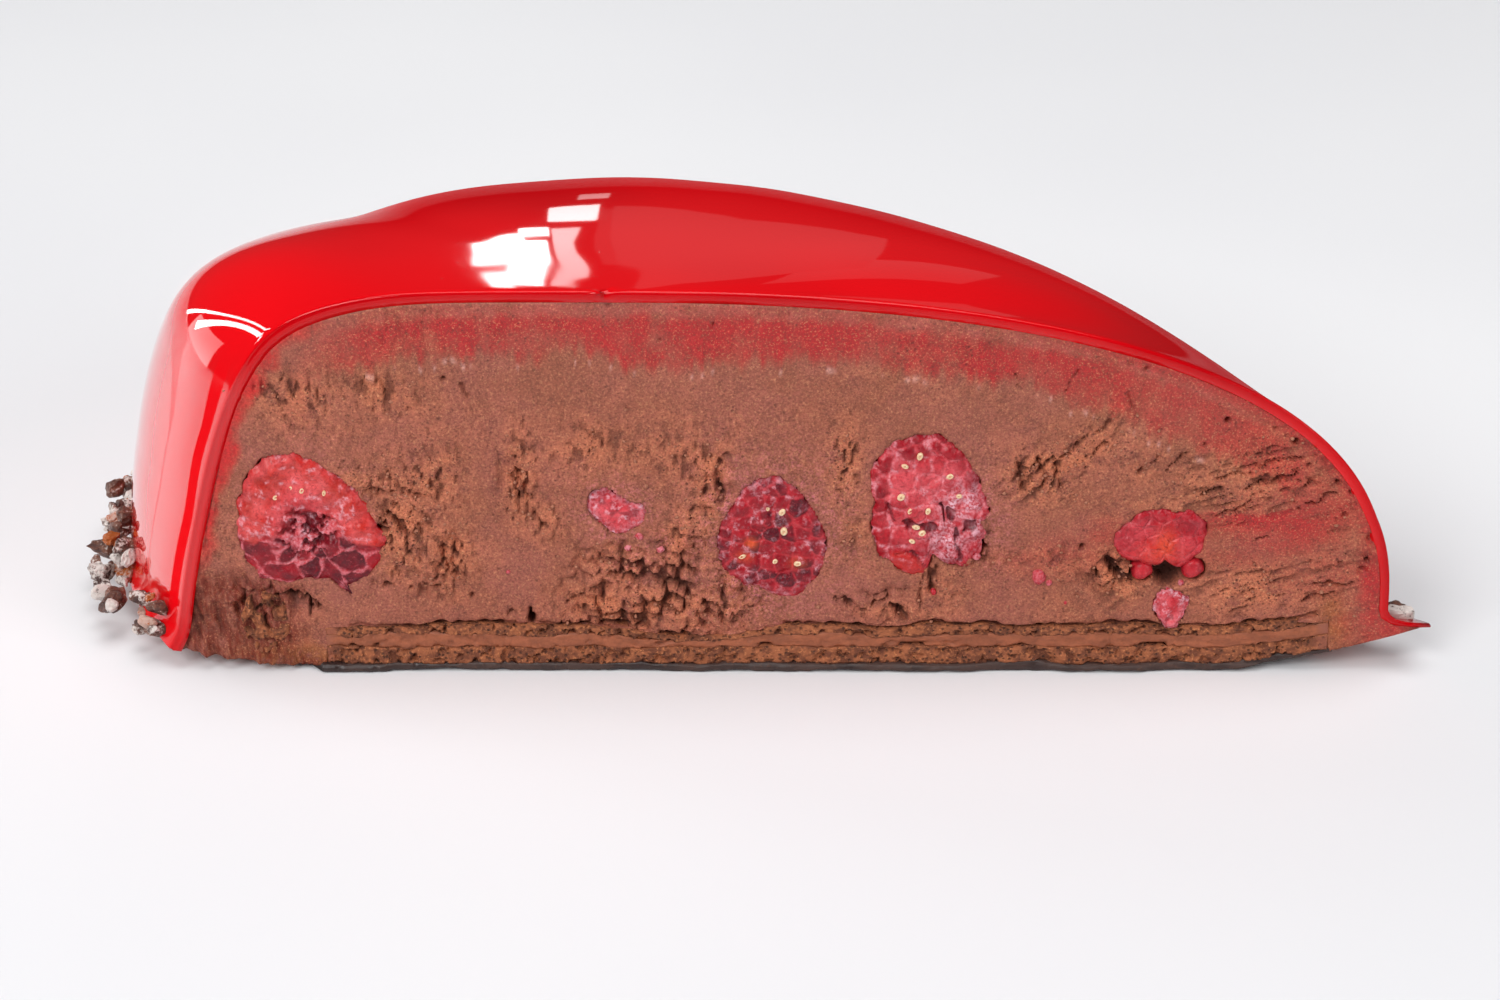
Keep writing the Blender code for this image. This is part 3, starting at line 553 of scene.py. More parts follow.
mousse = {
    # mm under the dome, rings of the outer sheet, rows up the cut, and the level in mm of its even rows
    "inset": 1.62, "rings": 320, "rows": 136, "level": 7.9,
    "smooth": paint(152, 85, 70), "warm": paint(146, 82, 62), "grainy": paint(190, 110, 78),
    "granule": paint(202, 136, 98), "shadow": paint(104, 50, 42), "pale": paint(164, 92, 80),
    # dark is painted shade for the hollows, pits and pinholes of the cut
    "dark": paint(66, 32, 24), "stain": paint(172, 34, 36), "smear": paint(108, 28, 6), "cake": paint(150, 86, 48),
    "frost": paint(206, 112, 128), "drip": paint(226, 172, 160), "glazed": paint(196, 22, 30),
    # where the cut is torn and porous: pixel, half width and height in mm, turn in degrees, strength
    "crumbly": (
        (305, 405, 8, 5, -10, 0.8), (385, 395, 7, 4, 0, 0.7), (420, 480, 7, 7, 0, 0.9), (405, 530, 5, 8, 0, 1.0),
        (450, 560, 4, 6, 0, 0.9), (365, 480, 6, 3, 0, 0.7), (520, 480, 3, 8, 0, 1.0), (540, 525, 4, 4, 0, 0.7),
        (600, 450, 10, 6, 0, 0.55), (690, 455, 9, 7, 0, 0.65), (712, 485, 3, 7, 0, 1.0), (690, 540, 5, 7, 0, 0.9),
        (845, 465, 3, 8, 0, 0.8), (856, 520, 3, 6, 0, 0.6), (1040, 475, 6, 5, 30, 1.0), (1090, 450, 8, 4, 45, 0.9),
        (1245, 480, 16, 7, 14, 0.85), (1150, 460, 6, 5, 40, 0.6), (645, 608, 13, 5, 0, 1.0), (730, 600, 5, 6, 0, 0.9),
        (1040, 565, 10, 4, 0, 0.55), (1240, 590, 14, 5, 4, 0.7), (1120, 575, 5, 5, 0, 1.0), (930, 590, 5, 5, 0, 0.6),
        (1330, 560, 6, 10, 0, 0.5), (620, 565, 6, 4, 0, 0.8), (900, 612, 8, 2, 0, 0.8)),
    # torn lines: from one pixel to another, half width and depth in mm
    "tears": (
        (513, 470, 515, 502, 0.5, 1.3), (524, 476, 526, 500, 0.5, 1.6), (708, 470, 706, 490, 0.4, 1.2),
        (720, 468, 724, 500, 0.5, 1.5), (443, 548, 447, 572, 0.6, 1.6), (455, 550, 453, 575, 0.5, 1.3),
        (528, 514, 542, 526, 0.5, 1.0), (348, 489, 424, 498, 0.3, 1.1), (392, 517, 410, 530, 0.9, 2.4),
        (387, 589, 396, 588, 0.7, 1.4), (425, 588, 437, 588, 0.8, 1.6), (620, 552, 632, 548, 0.8, 1.8),
        (568, 600, 580, 592, 0.5, 1.3), (694, 540, 708, 548, 0.5, 1.4), (505, 616, 512, 612, 0.5, 1.3),
        (527, 614, 530, 620, 0.8, 2.2), (831, 599, 852, 606, 0.35, 1.6), (861, 612, 892, 599, 0.45, 1.8),
        (894, 603, 912, 618, 0.55, 2.6), (922, 577, 920, 607, 0.3, 1.2), (929, 566, 932, 596, 0.7, 1.8),
        (976, 536, 972, 556, 0.9, 2.4), (934, 541, 931, 563, 0.7, 2.6), (1017, 468, 1024, 491, 0.5, 1.2),
        (1036, 461, 1042, 492, 0.5, 1.4), (1053, 465, 1060, 490, 0.5, 1.3), (1062, 458, 1084, 436, 0.5, 1.2),
        (1090, 460, 1108, 446, 0.5, 1.4), (1096, 434, 1112, 422, 0.4, 1.0), (1143, 471, 1158, 456, 0.3, 1.1),
        (1165, 471, 1191, 455, 0.3, 1.2), (1216, 515, 1251, 501, 0.3, 1.2), (1246, 488, 1299, 478, 0.42, 1.6),
        (1219, 483, 1255, 473, 0.3, 1.1), (1278, 459, 1299, 457, 0.3, 1.1), (1297, 488, 1318, 486, 0.3, 1.2),
        (1297, 508, 1337, 494, 0.3, 1.3), (1260, 466, 1292, 461, 0.3, 1.0), (1205, 497, 1222, 490, 0.3, 1.0),
        (1310, 583, 1354, 586, 0.35, 1.4), (1300, 602, 1334, 595, 0.35, 1.3), (1109, 566, 1131, 582, 1.4, 2.8),
        (1258, 538, 1266, 533, 0.3, 1.0), (275, 597, 300, 592, 0.45, 2.2), (254, 612, 276, 596, 0.5, 2.2),
        (302, 596, 318, 606, 1.1, 3.4), (308, 600, 312, 618, 1.1, 3.0), (360, 381, 362, 396, 0.3, 0.8),
        (378, 383, 381, 394, 0.35, 0.9), (463, 381, 466, 395, 0.35, 0.9), (1012, 376, 1020, 384, 0.2, 0.8),
        (1067, 392, 1079, 376, 0.2, 0.8), (1133, 394, 1135, 412, 0.3, 0.8)),
    # broken into lumps with open joints: pixel, half width and height in mm, turn in degrees, strength
    "chunky": (
        (668, 590, 12, 6.5, -12, 1.0), (632, 568, 6, 2.6, 0, 1.0), (690, 575, 6, 4, 0, 1.0), (640, 622, 9, 4, 0, 0.9),
        (720, 608, 5, 3, 0, 0.9), (898, 606, 7, 2.6, 0, 0.8), (395, 522, 4, 5, 20, 1.0), (388, 560, 3, 5, 0, 0.9),
        (425, 585, 4, 2, 0, 0.7), (1108, 572, 4, 2.6, 0, 0.9), (268, 600, 6, 4, 0, 0.5), (978, 548, 2.6, 3.5, 0, 0.8),
        (450, 560, 3, 4, 0, 0.6), (520, 488, 2.6, 4, 0, 0.7), (712, 486, 3, 4.5, 0, 0.7)),
    # round holes: pixel, radius and depth in mm
    "holes": (
        (246, 503, 1.1, 2.4), (1228, 421, 0.45, 1.4), (1296, 442, 0.5, 1.6), (1371, 539, 0.75, 0.8),
        (1345, 516, 0.5, 0.8), (1362, 571, 0.75, 0.8), (1367, 560, 0.4, 1.2), (1338, 483, 0.4, 1.0),
        (1352, 493, 0.35, 1.0), (1205, 445, 0.3, 0.8), (1147, 369, 0.45, 0.8), (1131, 364, 0.5, 0.5),
        (1082, 547, 0.45, 1.3), (532, 618, 0.6, 2.0), (1276, 429, 0.3, 0.8), (1310, 466, 0.35, 0.8),
        (660, 340, 0.3, 0.6), (713, 325, 0.35, 0.8), (443, 379, 0.4, 1.0), (608, 305, 0.3, 0.6), (789, 315, 0.35, 0.6),
        (1311, 562, 0.3, 0.8), (1340, 563, 0.3, 0.8), (472, 596, 0.4, 1.0)),
    # where the gap over the sponge stands open, and the torn core under the fifth berry
    "gap": ((450, 630, 12, 4, 0, 1), (590, 630, 8, 4, 0, 1), (1010, 624, 22, 4, 0, 1), (1130, 623, 6, 4, 0, 1),
            (1250, 614, 14, 4, 0, 1)),
    "core": ((1168, 575, 2.3, 2.2, 0, 1.0),),
    # juice that has run into the mousse, and the sharp upper edge of its band towards the point
    "juice": (
        (1255, 528, 8, 3.2, 5, 0.75), (1300, 524, 9, 5.5, 8, 0.75), (1330, 510, 6, 7, -20, 0.6),
        (1325, 575, 7, 4, 0, 0.35), (1075, 555, 8, 3.2, 10, 0.4), (1372, 590, 2.2, 10, 5, 0.95),
        (1389, 628, 4.5, 2.4, 4, 0.8), (1352, 625, 3, 6, 20, 0.3), (1230, 556, 8, 2.4, 0, 0.35),
        (1105, 540, 4, 4, 0, 0.4), (1025, 560, 5, 2, 0, 0.25)),
    "juiceEdge": ((1150, 514), (1210, 511), (1260, 514), (1300, 506), (1340, 500)),
    # layer crumb drawn out over the mousse at both ends of the layers
    "cakeEnd": ((296, 655, 6.5, 2.4, -8, 1.0), (262, 652, 4.0, 1.6, 0, 0.8), (1334, 624, 1.9, 4.6, 8, 0.9)),
    # frost and pale flesh round the berries
    "halo": (
        (771, 538, 9.6, 11.2, -10, 0.9), (616, 512, 5.2, 4.6, -35, 0.8), (655, 545, 3.5, 3.2, 0, 0.4),
        (985, 520, 3.5, 7.5, 10, 0.5), (635, 560, 5.0, 5.0, 0, 0.3), (308, 515, 11.5, 11.0, 0, 0.25)),
}


def slits(x, z, turn, long, wide, seed, least):
    # Short narrow pits: noise stretched along one direction, where it is above least
    c, s = math.cos(math.radians(turn)), math.sin(math.radians(turn))
    along, across = x * c + z * s, z * c - x * s
    return rise(noise(along * wide / long, across, wide, seed) + 0.35 * noise(x, z, wide * 0.7, seed + 1),
                least, least + 0.3)


def toGlaze(x, z, edge):
    # Distance to the mousse's upper edge
    away = np.full(x.shape, 99.0)
    for edgeX, edgeZ in edge[::3]:
        away = np.minimum(away, np.hypot(x - edgeX, z - edgeZ))
    return away


def mousseRelief(x, z, crumbly, pits):
    # How far the torn mousse goes in, in mm: pits, grains, tears, round holes and blocks with open joints
    near, after, _ = cells(x, z, 0.95, 21)
    lumps = (after - near) * 0.5 - 0.2
    tears = 0.75 * cracks(x, z, [(*tear[:4], 0.66 * tear[4], tear[5]) for tear in mousse["tears"]], 40)
    holes = np.zeros(x.shape)
    for u, v, radius, depth in mousse["holes"]:
        holes = np.maximum(holes, depth * np.exp(-(awayFrom(x, z, u, v) / radius) ** 4))
    chunky = np.clip(spots(x, z, mousse["chunky"]) * (1.15 + 0.5 * clouds(x, z, 3.0, 23)), 0, 1)
    near, after, tag = cells(0.72 * x + 0.5 * noise(x, z, 1.1, 25), z + 0.15 * x + 0.5 * noise(x, z, 1.1, 26), 2.1, 24)
    joints = rise(after - near + 0.45 * noise(x, z, 2.6, 27), 0.2, 0.0) * chunky
    blocks = chunky * (0.75 * (tag - 0.62) - 0.2 * (1 - near)) + 1.9 * joints
    drag = noise(x, z / 9, 0.8, 17) * (1 - crumbly)
    into = (0.22 * clouds(x, z, 14.0, 5) + 0.05 * drag
            + crumbly * (0.75 * pits - 0.3 * lumps + 0.25 * clouds(x, z, 2.2, 14)) + tears + holes + blocks)
    # the gap over the sponge opens here and there
    overSponge = z - lifted(x, seamHeight(4, x, 0 * x))
    openAt = np.maximum(rise(clouds(x, 0 * x, 7.0, 77), -0.15, 0.3), spots(x, z, mousse["gap"]))
    into += 1.5 * openAt * bell(overSponge, 0.15, 0.42 + 0.2 * noise(x, z, 1.0, 71)) * (x > -58) * (x < 82)
    return into


def berryPockets(x, z):
    # 1 where a berry or a loose drupelet lies in the cut
    pocket = np.zeros(x.shape)
    torn = 0.05 * clouds(x, z, 1.6, 66)
    for berry in berries.values():
        pocket = np.maximum(pocket, rise(berryShare(berry, x, z) + torn, 1.0, 0.92))
    for u, v, radius in balls:
        pocket = np.maximum(pocket, rise(awayFrom(x, z, u, v) / radius, 1.12, 0.95))
    return pocket


def juiceStains(x, z, under):
    # Colour that has run down from the glaze, juice round the berries, and the pale tips of the drips
    drip = 9.6 + 0.9 * noise(x, 0 * x, 1.0, 51) + 0.9 * noise(x, 0 * x, 0.5, 52) + 1.4 * noise(x, 0 * x, 7, 53)
    inBand = rise(x, -66, -50) * (1 - rise(x, 77, 82))
    stain = ((0.4 + 0.6 * rise(under + 0.5 * noise(x, z, 1.4, 57), 1.2, 2.8)) * rise(under, 0, 0.6)
             * (1 - rise(under, drip - 2.6, drip)) * inBand)
    stain = (stain * np.clip(0.85 + 0.5 * clouds(x, z / 1.8, 2.4, 54) + 0.2 * bell(under, 3.6, 1.2), 0.2, 1)
             * (1 - 0.3 * rise(x, 40, 62)))
    rim = bell(under, 0, 1.9) * rise(x, 20, 60) * 0.9
    juice = spots(x, z, mousse["juice"]) * np.clip(1 + 0.6 * clouds(x, z * 2, 4.0, 56), 0, 1.3)
    edgeX, edgeZ = onCut(*np.array(mousse["juiceEdge"], float).T)
    below = np.interp(x, edgeX, edgeZ) + 0.3 * noise(x, z, 1.2, 68) - z
    band = rise(below, -0.1, 0.4) * (1 - 0.75 * rise(below, 1.0, 4.5)) * (1 - rise(below, 4.5, 8.0))
    band = band * rise(x, 56, 64) * (1 - rise(x, 84, 87)) * np.clip(0.85 + 0.5 * clouds(x, z * 1.5, 3.0, 69), 0, 1)
    tip = (bell(under, drip - 0.4, 0.4) * rise(noise(x, 0 * x, 0.5, 52), 0.35, 0.7) * inBand
           * rise(noise(x, 0 * x, 2.1, 59), -0.4, 0.2))
    return np.clip(np.maximum(np.maximum(stain, np.maximum(juice, band)), rim), 0, 1), tip


def mousseFields(x, z, edge):
    # How far the cut goes in at each point, in mm, and what the material needs to know
    under = toGlaze(x, z, edge)
    crumbly = np.clip(spots(x, z, mousse["crumbly"]) * (1 + 0.5 * clouds(x, z, 5.0, 3)), 0, 1)
    crumbly = np.maximum(crumbly, 0.22 * rise(clouds(x, z, 9.0, 8), 0.0, 0.5))
    left, right = rise(-x, -34, -22), rise(x, 50, 60)
    middle = np.clip(1 - left - right, 0, 1)
    pits = (left * slits(x, z, 88, 1.2, 0.55, 11, 0.30) + middle * slits(x, z, 48, 1.2, 0.55, 12, 0.30)
            + right * slits(x, z, 17, 2.2, 0.5, 13, 0.32))
    into = mousseRelief(x, z, crumbly, pits)
    # strokes of the knife at the foot near the notch, and the coat's chocolate drawn out along the foot
    stroke = rise(-x + 1.2 * noise(z, x, 2.2, 63), 62.5, 68) * rise(18 - z, 0, 5)
    into += stroke * (0.8 * noise(x + 0.28 * z, z / 6, 1.3, 61) + 0.5 * noise(x + 0.3 * z, z / 4, 0.6, 62)
                      + 0.35 * clouds(x, z, 1.8, 64) + 0.3)
    drawn = rise(-x, 56, 58) * rise(-x, 69, 66) * rise(1.9 + 0.6 * noise(x, z, 1.5, 65) - z, 0, 0.7)
    sunk = into + 3.6 * rise(spots(x, z, mousse["core"]), 0.35, 0.62)
    stain, tip = juiceStains(x, z, under)
    # glaze smeared over the cut's edge near the notch
    smudge = rise(1.9 + 1.3 * clouds(x, z, 3.2, 67) - under, -0.6, 1.6) * rise(-x, 56, 64) * rise(z, 12, 24)
    halo = spots(x, z, mousse["halo"]) * np.clip(0.65 + 0.9 * clouds(x, z, 1.0, 58), 0, 1.2)
    # hollow and pit are painted shade where the cut goes in deep and in its pits
    return sunk + 3.4 * berryPockets(x, z), {
        "crumbly": crumbly, "hollow": rise(sunk, 0.55, 1.9), "stain": stain, "halo": np.clip(halo, 0, 1), "tip": tip,
        "pale": bell(under, 1.2, 1.5) * rise(x, -66, -40) * (1 - rise(x, 60, 75)),
        "smear": np.maximum(stroke, drawn), "pit": crumbly * pits, "smudge": smudge,
        "cake": np.clip(spots(x, z, mousse["cakeEnd"]) * (1.2 + 0.6 * clouds(x, z, 1.6, 70)), 0, 1),
    }


def seamHeight(number, x, y):
    # Height of the seam over each layer: level, with a slow and a fast noise
    level = (0.3, 1.25, 3.85, 5.9, 7.05)[number]
    wave = (0.28, 0.3, 0.3, 0.35, 0.4)[number]
    sag = 1.3 * bell(x, -9, 8) * (number > 2)
    height = level + wave * (noise(x, y, 7.0, 80 + number) + 0.6 * noise(x, y, 1.7, 90 + number)) - sag
    return np.maximum(height, 0.02)


def mousseMaterial():
    recipe = Recipe("chocolate_mousse")
    crumbly, stain = recipe.field("crumbly"), recipe.field("stain")
    fine, coarse, slow = recipe.grain(0.42, 3.0, 0.7), recipe.grain(2.3, 3.0, 0.6), recipe.grain(11.0, 3.0, 0.6)
    drag, speck = recipe.grain(0.5, 2.0, 0.5, at=recipe.stretched(1, 1, 0.12)), recipe.grain(0.3, 2.0, 0.8)
    granule = recipe.pores(0.9).step(0.34, 0.16) * fine.step(0.4, 0.6)
    colour = recipe.coats(
        mousse["smooth"], (mousse["warm"], slow.step(0.38, 0.66)),
        (mousse["grainy"], crumbly * coarse.step(0.25, 0.6)),
        (mousse["granule"], crumbly * granule * 0.85),
        (mousse["pale"], recipe.field("pale") * coarse.step(0.3, 0.7)),
        (mousse["cake"], recipe.field("cake") * coarse.step(0.3, 0.45)),
        (mousse["smear"], recipe.field("smear") * (drag * 0.6 + coarse * 0.4).step(0.3, 0.62) * 0.9),
        (mousse["stain"], stain * (fine * 0.45 + drag * 0.2 + coarse * 0.35).step(0.12, 0.54)),
        (mousse["frost"], recipe.field("halo") * fine.step(0.42, 0.62)),
        (mousse["drip"], recipe.field("tip") * 0.55),
        # fine grain all over: lighter and dark reddish specks
        (mousse["granule"], speck.step(0.54, 0.7) * (crumbly * 0.3 + 0.55)),
        (mousse["shadow"], speck.step(0.46, 0.3) * (crumbly * 0.35 + 0.6)),
        (mousse["glazed"], recipe.field("smudge") * (drag * 0.4 + coarse * 0.6).step(0.2, 0.5) * 0.85))
    tone = fine.step(0.25, 0.75) * 0.5 + coarse.step(0.2, 0.8) * 0.2 + drag * 0.2 + 0.55
    # pinholes: many in the torn places, a few elsewhere; each is bump and painted shade
    pinholes = recipe.pores(0.6).step(0.32, 0.14) * recipe.grain(1.5, 2.0).step(0.42, 0.52)
    larger = recipe.pores(1.25).step(0.2, 0.09) * recipe.grain(3.1, 2.0).step(0.47, 0.57)
    holes = (pinholes * crumbly).most(larger * (crumbly * 0.65 + 0.35))
    # painted shade: dark colour in the deep hollows, the pits and the pinholes
    pore_shade = (recipe.field("hollow") * 0.85).most(holes * 0.9).most(recipe.field("pit") * 0.75)
    height = fine * 0.5 + coarse * 0.3 + drag * 0.2 + granule * crumbly * 0.4 - holes * 1.2
    return recipe.finish(recipe.coats(recipe.shade(colour, tone), (mousse["dark"], pore_shade)),
                         crumbly * 0.2 + 0.62 - stain * 0.15, height, depth=0.4, strength=0.6, fixed={"IOR": 1.4})


def faceOf(upper, lower, rows, fields, level=None):
    # The cut between two sheets: columns straight up from the lower to the upper edge, pushed in by the relief.
    # Where a level is given, an eighth of the rows lies below it and the others are alike in all columns.
    top = np.concatenate([upper[::-1, -1], upper[1:, 0]])
    bottom = np.concatenate([lower[::-1, -1], lower[1:, 0]])
    t = np.linspace(0, 1, rows + 1)[:, None, None]
    face = bottom * (1 - t) + top * t
    if level is not None:
        middle = bottom.copy()
        middle[:, 2] = np.minimum(level, (bottom[:, 2] + top[:, 2]) / 2)
        share = 1 / 8
        face = np.where(t < share, bottom + (middle - bottom) * t / share,
                        middle + (top - middle) * (t - share) / (1 - share))
    into, given = fields(face[..., 0], face[..., 2], top[:, [0, 2]])
    face[..., 1] = into
    rings = upper.shape[0] - 1
    for sheet, row in ((upper, face[-1]), (lower, face[0])):
        sheet[::-1, -1], sheet[:, 0] = row[:rings + 1], row[rings:]
    return face, given


def makeMousse():
    bearings = np.linspace(0, math.pi, 21)
    upper = domeSheet(bearings, mousse["rings"], mousse["inset"], 0.25, 1.0, 0.0)
    away = awayOf(upper)
    edge = layerEdge(bearings)
    x, y = dome["crownX"] + away * np.cos(bearings), away * np.sin(bearings)
    over = rise(away, edge + 0.3, edge - 0.1)
    height = dome["foot"] + (seamHeight(4, x, y) - dome["foot"]) * over
    lower = sheetAt(bearings, away.copy(), height)
    lower[-1] = upper[-1]
    face, given = faceOf(upper, lower, mousse["rows"], mousseFields, mousse["level"])
    makePiece("mousse_cut", [(face, False, given), (upper, True, {}), (lower, False, {})],
              mousseMaterial(), "mousse", ["mousse"])


stack = {
    "chocolate_base": {"seams": (0, 1), "slot": "chocolate", "rows": 7, "crumb": 0.10, "overhang": 0.8},
    "sponge_lower": {"seams": (1, 2), "slot": "sponge", "rows": 9, "crumb": 0.6, "overhang": 0.0},
    "ganache_band": {"seams": (2, 3), "slot": "ganache", "rows": 7, "crumb": 0.22, "overhang": 0.0},
    "sponge_upper": {"seams": (3, 4), "slot": "sponge", "rows": 6, "crumb": 0.75, "overhang": 0.0},
}


def layerFields(name):
    crumb = stack[name]["crumb"]
    seed = 100 + stack[name]["seams"][0]

    def fields(x, z, edge):
        near, after, _ = cells(x, z * 1.2, 0.95, seed)
        pits = rise(noise(x, z * 1.4, 1.1, seed + 3) + 0.4 * noise(x, z, 0.5, seed + 4), 0.25, 0.6)
        into = crumb * (1.1 * pits - 0.5 * (after - near) + 0.4 * clouds(x, z, 3.0, seed + 5))
        if name == "chocolate_base":
            # the coat hangs out in slow scallops, roundest half way up
            share = z / 1.25
            swell = 0.35 + 0.65 * rise(clouds(x, 0 * x, 11.0, 7, 2), -0.4, 0.5)
            into = into - swell * np.sqrt(np.clip(1 - (share - 0.45) ** 2 / 0.36, 0, 1))
        if name == "ganache_band":
            into = into + 1.2 * rise(clouds(x, z * 3, 5.0, 9), 0.28, 0.5) * bell(z, 4.0, 0.5)
        ragged = 1.2 * clouds(x, z, 2.4, seed + 6)
        end = np.maximum(rise(-x + ragged, 59.0, 61.0), rise(x + ragged, 81.4, 83.4)) * (name != "chocolate_base")
        # hollow is painted shade where the cut goes in deep
        return into * (1 - 0.8 * end), {"hollow": rise(into, 0.5, 1.2) * (crumb > 0.2) * (1 - end), "end": end}
    return fields


def spongeMaterial():
    recipe = Recipe("cocoa_sponge")
    fine, coarse = recipe.grain(0.4, 3.0, 0.7), recipe.grain(1.6, 2.0)
    holes = recipe.pores(0.8).step(0.36, 0.14)
    colour = recipe.coats(paint(112, 60, 38), (paint(160, 92, 58), coarse.step(0.38, 0.62)),
                          (paint(208, 132, 82), fine.step(0.54, 0.7) * 0.75),
                          # painted shade in the pores and the deep hollows
                          (paint(52, 26, 18), (holes * 0.8).most(recipe.field("hollow")) * 0.85),
                          (mousse["warm"], recipe.field("end") * 0.85))
    return recipe.finish(colour, 0.85, fine * 0.6 + coarse * 0.4 - holes, depth=0.4, strength=0.7)


def ganacheMaterial():
    recipe = Recipe("ganache")
    fine, streak = recipe.grain(0.5, 2.0, 0.6), recipe.grain(1.2, 3.0, 0.6, at=recipe.stretched(0.35, 1, 1))
    colour = recipe.coats(paint(138, 74, 46), (paint(160, 88, 56), streak.step(0.35, 0.65)))
    # painted shade in the deep hollows
    colour = recipe.coats(recipe.shade(colour, fine.step(0.2, 0.8) * 0.25 + 0.86),
                          (paint(60, 32, 26), recipe.field("hollow")), (mousse["warm"], recipe.field("end")))
    return recipe.finish(colour, 0.6, fine * 0.5 + streak * 0.5, depth=0.25, strength=0.5)


def coatMaterial():
    recipe = Recipe("chocolate_coat")
    fine, slow = recipe.grain(0.7, 3.0, 0.6), recipe.grain(6.0, 2.0)
    colour = recipe.coats(paint(44, 28, 26), (paint(66, 44, 38), slow.step(0.35, 0.65)),
                          (paint(104, 70, 54), fine.step(0.58, 0.72) * 0.4))
    return recipe.finish(colour, slow.step(0.3, 0.7) * 0.25 + 0.35, fine, depth=0.15, strength=0.5)


def makeLayers():
    materials = {"sponge": spongeMaterial(), "ganache": ganacheMaterial(), "chocolate": coatMaterial()}
    bearings = np.linspace(0, math.pi, 25)
    parts = np.linspace(0, 1, 261)[:, None]
    for name, layer in stack.items():
        away = parts * layerEdge(bearings, layer["overhang"])
        x, y = dome["crownX"] + away * np.cos(bearings), away * np.sin(bearings)
        lower, upper = (sheetAt(bearings, away.copy(), seamHeight(seam, x, y)) for seam in layer["seams"])
        face, given = faceOf(upper, lower, layer["rows"], layerFields(name))
        face[..., 2] = np.maximum(face[..., 2], 0.02)
        outside = np.stack([upper[-1], lower[-1]], axis=0)
        makePiece(name + "_cut", [(upper, True, {}), (lower, False, {}), (face, False, given), (outside, True, {})],
                  materials[layer["slot"]], layer["slot"], [name])


flesh = {
    "red": paint(186, 18, 34), "pink": paint(222, 88, 96), "wine": paint(84, 8, 24),
    "frost": paint(226, 180, 192), "orange": paint(236, 92, 40), "mottle": paint(140, 14, 30),
    # the first berry's core, and the fresh berry's frost and crevices, whose darker wine red is painted shade, in
    # pixels and mm
    "core": (306, 535),
    "frosted": (
        (962, 505, 3.2, 3.4, 0, 1.0), (948, 540, 2.6, 3.6, 0, 0.9), (975, 520, 2.0, 4.0, 0, 0.8),
        (925, 540, 1.5, 2.0, 0, 0.3)),
    "crevices": (
        (906, 519, 918, 527, 0.6, 1.2), (918, 525, 933, 530, 0.6, 1.4), (941, 500, 944, 522, 0.35, 1.2),
        (948, 508, 953, 520, 0.4, 1.2), (958, 532, 962, 560, 0.35, 1.2), (976, 520, 966, 534, 0.5, 1.5),
        (893, 552, 908, 550, 0.25, 0.8), (908, 550, 924, 566, 0.3, 1.0), (888, 505, 896, 520, 0.3, 0.7)),
    # orange patches of the frozen berry, and purple and orange ones of the smooth berry
    "amber": ((751, 543, 0.9, 0.9, 0, 0.8), (744, 556, 1.2, 0.9, 0, 0.5), (797, 563, 1.2, 0.9, 0, 0.4)),
    "purple": ((1152, 519, 3.2, 1.3, 0, 0.35), (1190, 524, 2.6, 1.6, 0, 0.45), (1126, 538, 1.6, 2.0, 0, 0.3)),
    "clear": ((1165, 545, 1.6, 2.4, 0, 0.5), (1160, 552, 3.0, 2.0, 0, 0.3)),
    # loose bits: pixel and size in mm
    "bits": (
        (639, 536, 0.75), (660, 550, 0.6), (1039, 577, 1.25), (933, 592, 0.5), (977, 557, 0.55), (1065, 603, 0.35),
        (628, 548, 0.5), (1049, 583, 0.5), (1181, 583, 0.5), (508, 572, 0.4)),
}


def fanLook(x, z, share, cell):
    # Pink flesh arched over a torn core, and wine-dark drupelets with pale skins below it
    coreX, coreZ = onCut(*flesh["core"])
    dx, dz = x - coreX, z - coreZ
    angle, away = np.arctan2(dz, dx), np.hypot(dx, dz)
    core = rise(np.hypot(dx / 4.4, (dz - 0.4) / 4.2) + 0.22 * clouds(x, z, 2.0, 201), 1.1, 0.55)
    over = rise(dz + 0.12 * np.abs(dx) + 1.3 * clouds(x, z, 2.6, 203), -0.6, 0.7)
    lobes = rise(share + 0.1 * noise(x, z, 2.4, 212), 0.6, 0.9) * over
    near, _, tag = cells(x, z, cell, 204)
    bent, longer = 1.75 * angle + 0.16 * noise(x, z, 1.8, 213), 0.24 * away + 0.2 * noise(x, z, 2.2, 214)
    podNear, podAfter, podTag = cells(bent, longer, 1.0, 205)
    skin = rise(podAfter - podNear + 0.1 * noise(x, z, 0.8, 215), 0.17, 0.04)
    strand = noise(angle * 9, away / 3.5, 1.0, 206)
    bits = rise(noise(x, z, 0.8, 207) + 0.5 * noise(x, z, 0.4, 216), 0.05, 0.4)
    into = over * (-0.3 + 0.2 * strand + 0.45 * clouds(x, z, 1.6, 208) - 0.45 * lobes * (1 - near ** 2))
    into += (1 - over) * (0.55 - 0.6 * (1 - podNear ** 2) - 0.3 * skin + 0.25 * clouds(x, z, 1.2, 217))
    into = into * (1 - core) + core * (1.0 - 0.9 * bits + 0.7 * clouds(x, z, 1.3, 202))
    pink = over * (0.55 + 0.6 * clouds(x, z, 1.5, 209) + 0.3 * strand - 0.5 * lobes * rise(tag, 0.2, 0.6))
    pink = np.maximum(pink, (1 - over) * skin * 0.55) * (1 - core) + core * bits * 0.5
    wine = (1 - over) * (1 - 0.8 * skin) * (0.35 + 0.75 * podTag + 0.3 * noise(x, z, 1.4, 210)) * (1 - core)
    wine = wine + core * (0.85 - 0.8 * bits) + over * (1 - core) * rise(clouds(x, z, 2.2, 218), 0.2, 0.7) * 0.3
    frost = over * rise(clouds(x, z, 0.8, 211), 0.25, 0.6) * 0.5 + core * bits * 0.3 + (1 - over) * skin * 0.25
    return into, {"pink": pink, "wine": wine, "frost": frost, "orange": over * bell(share, 0.75, 0.3) * 0.2}


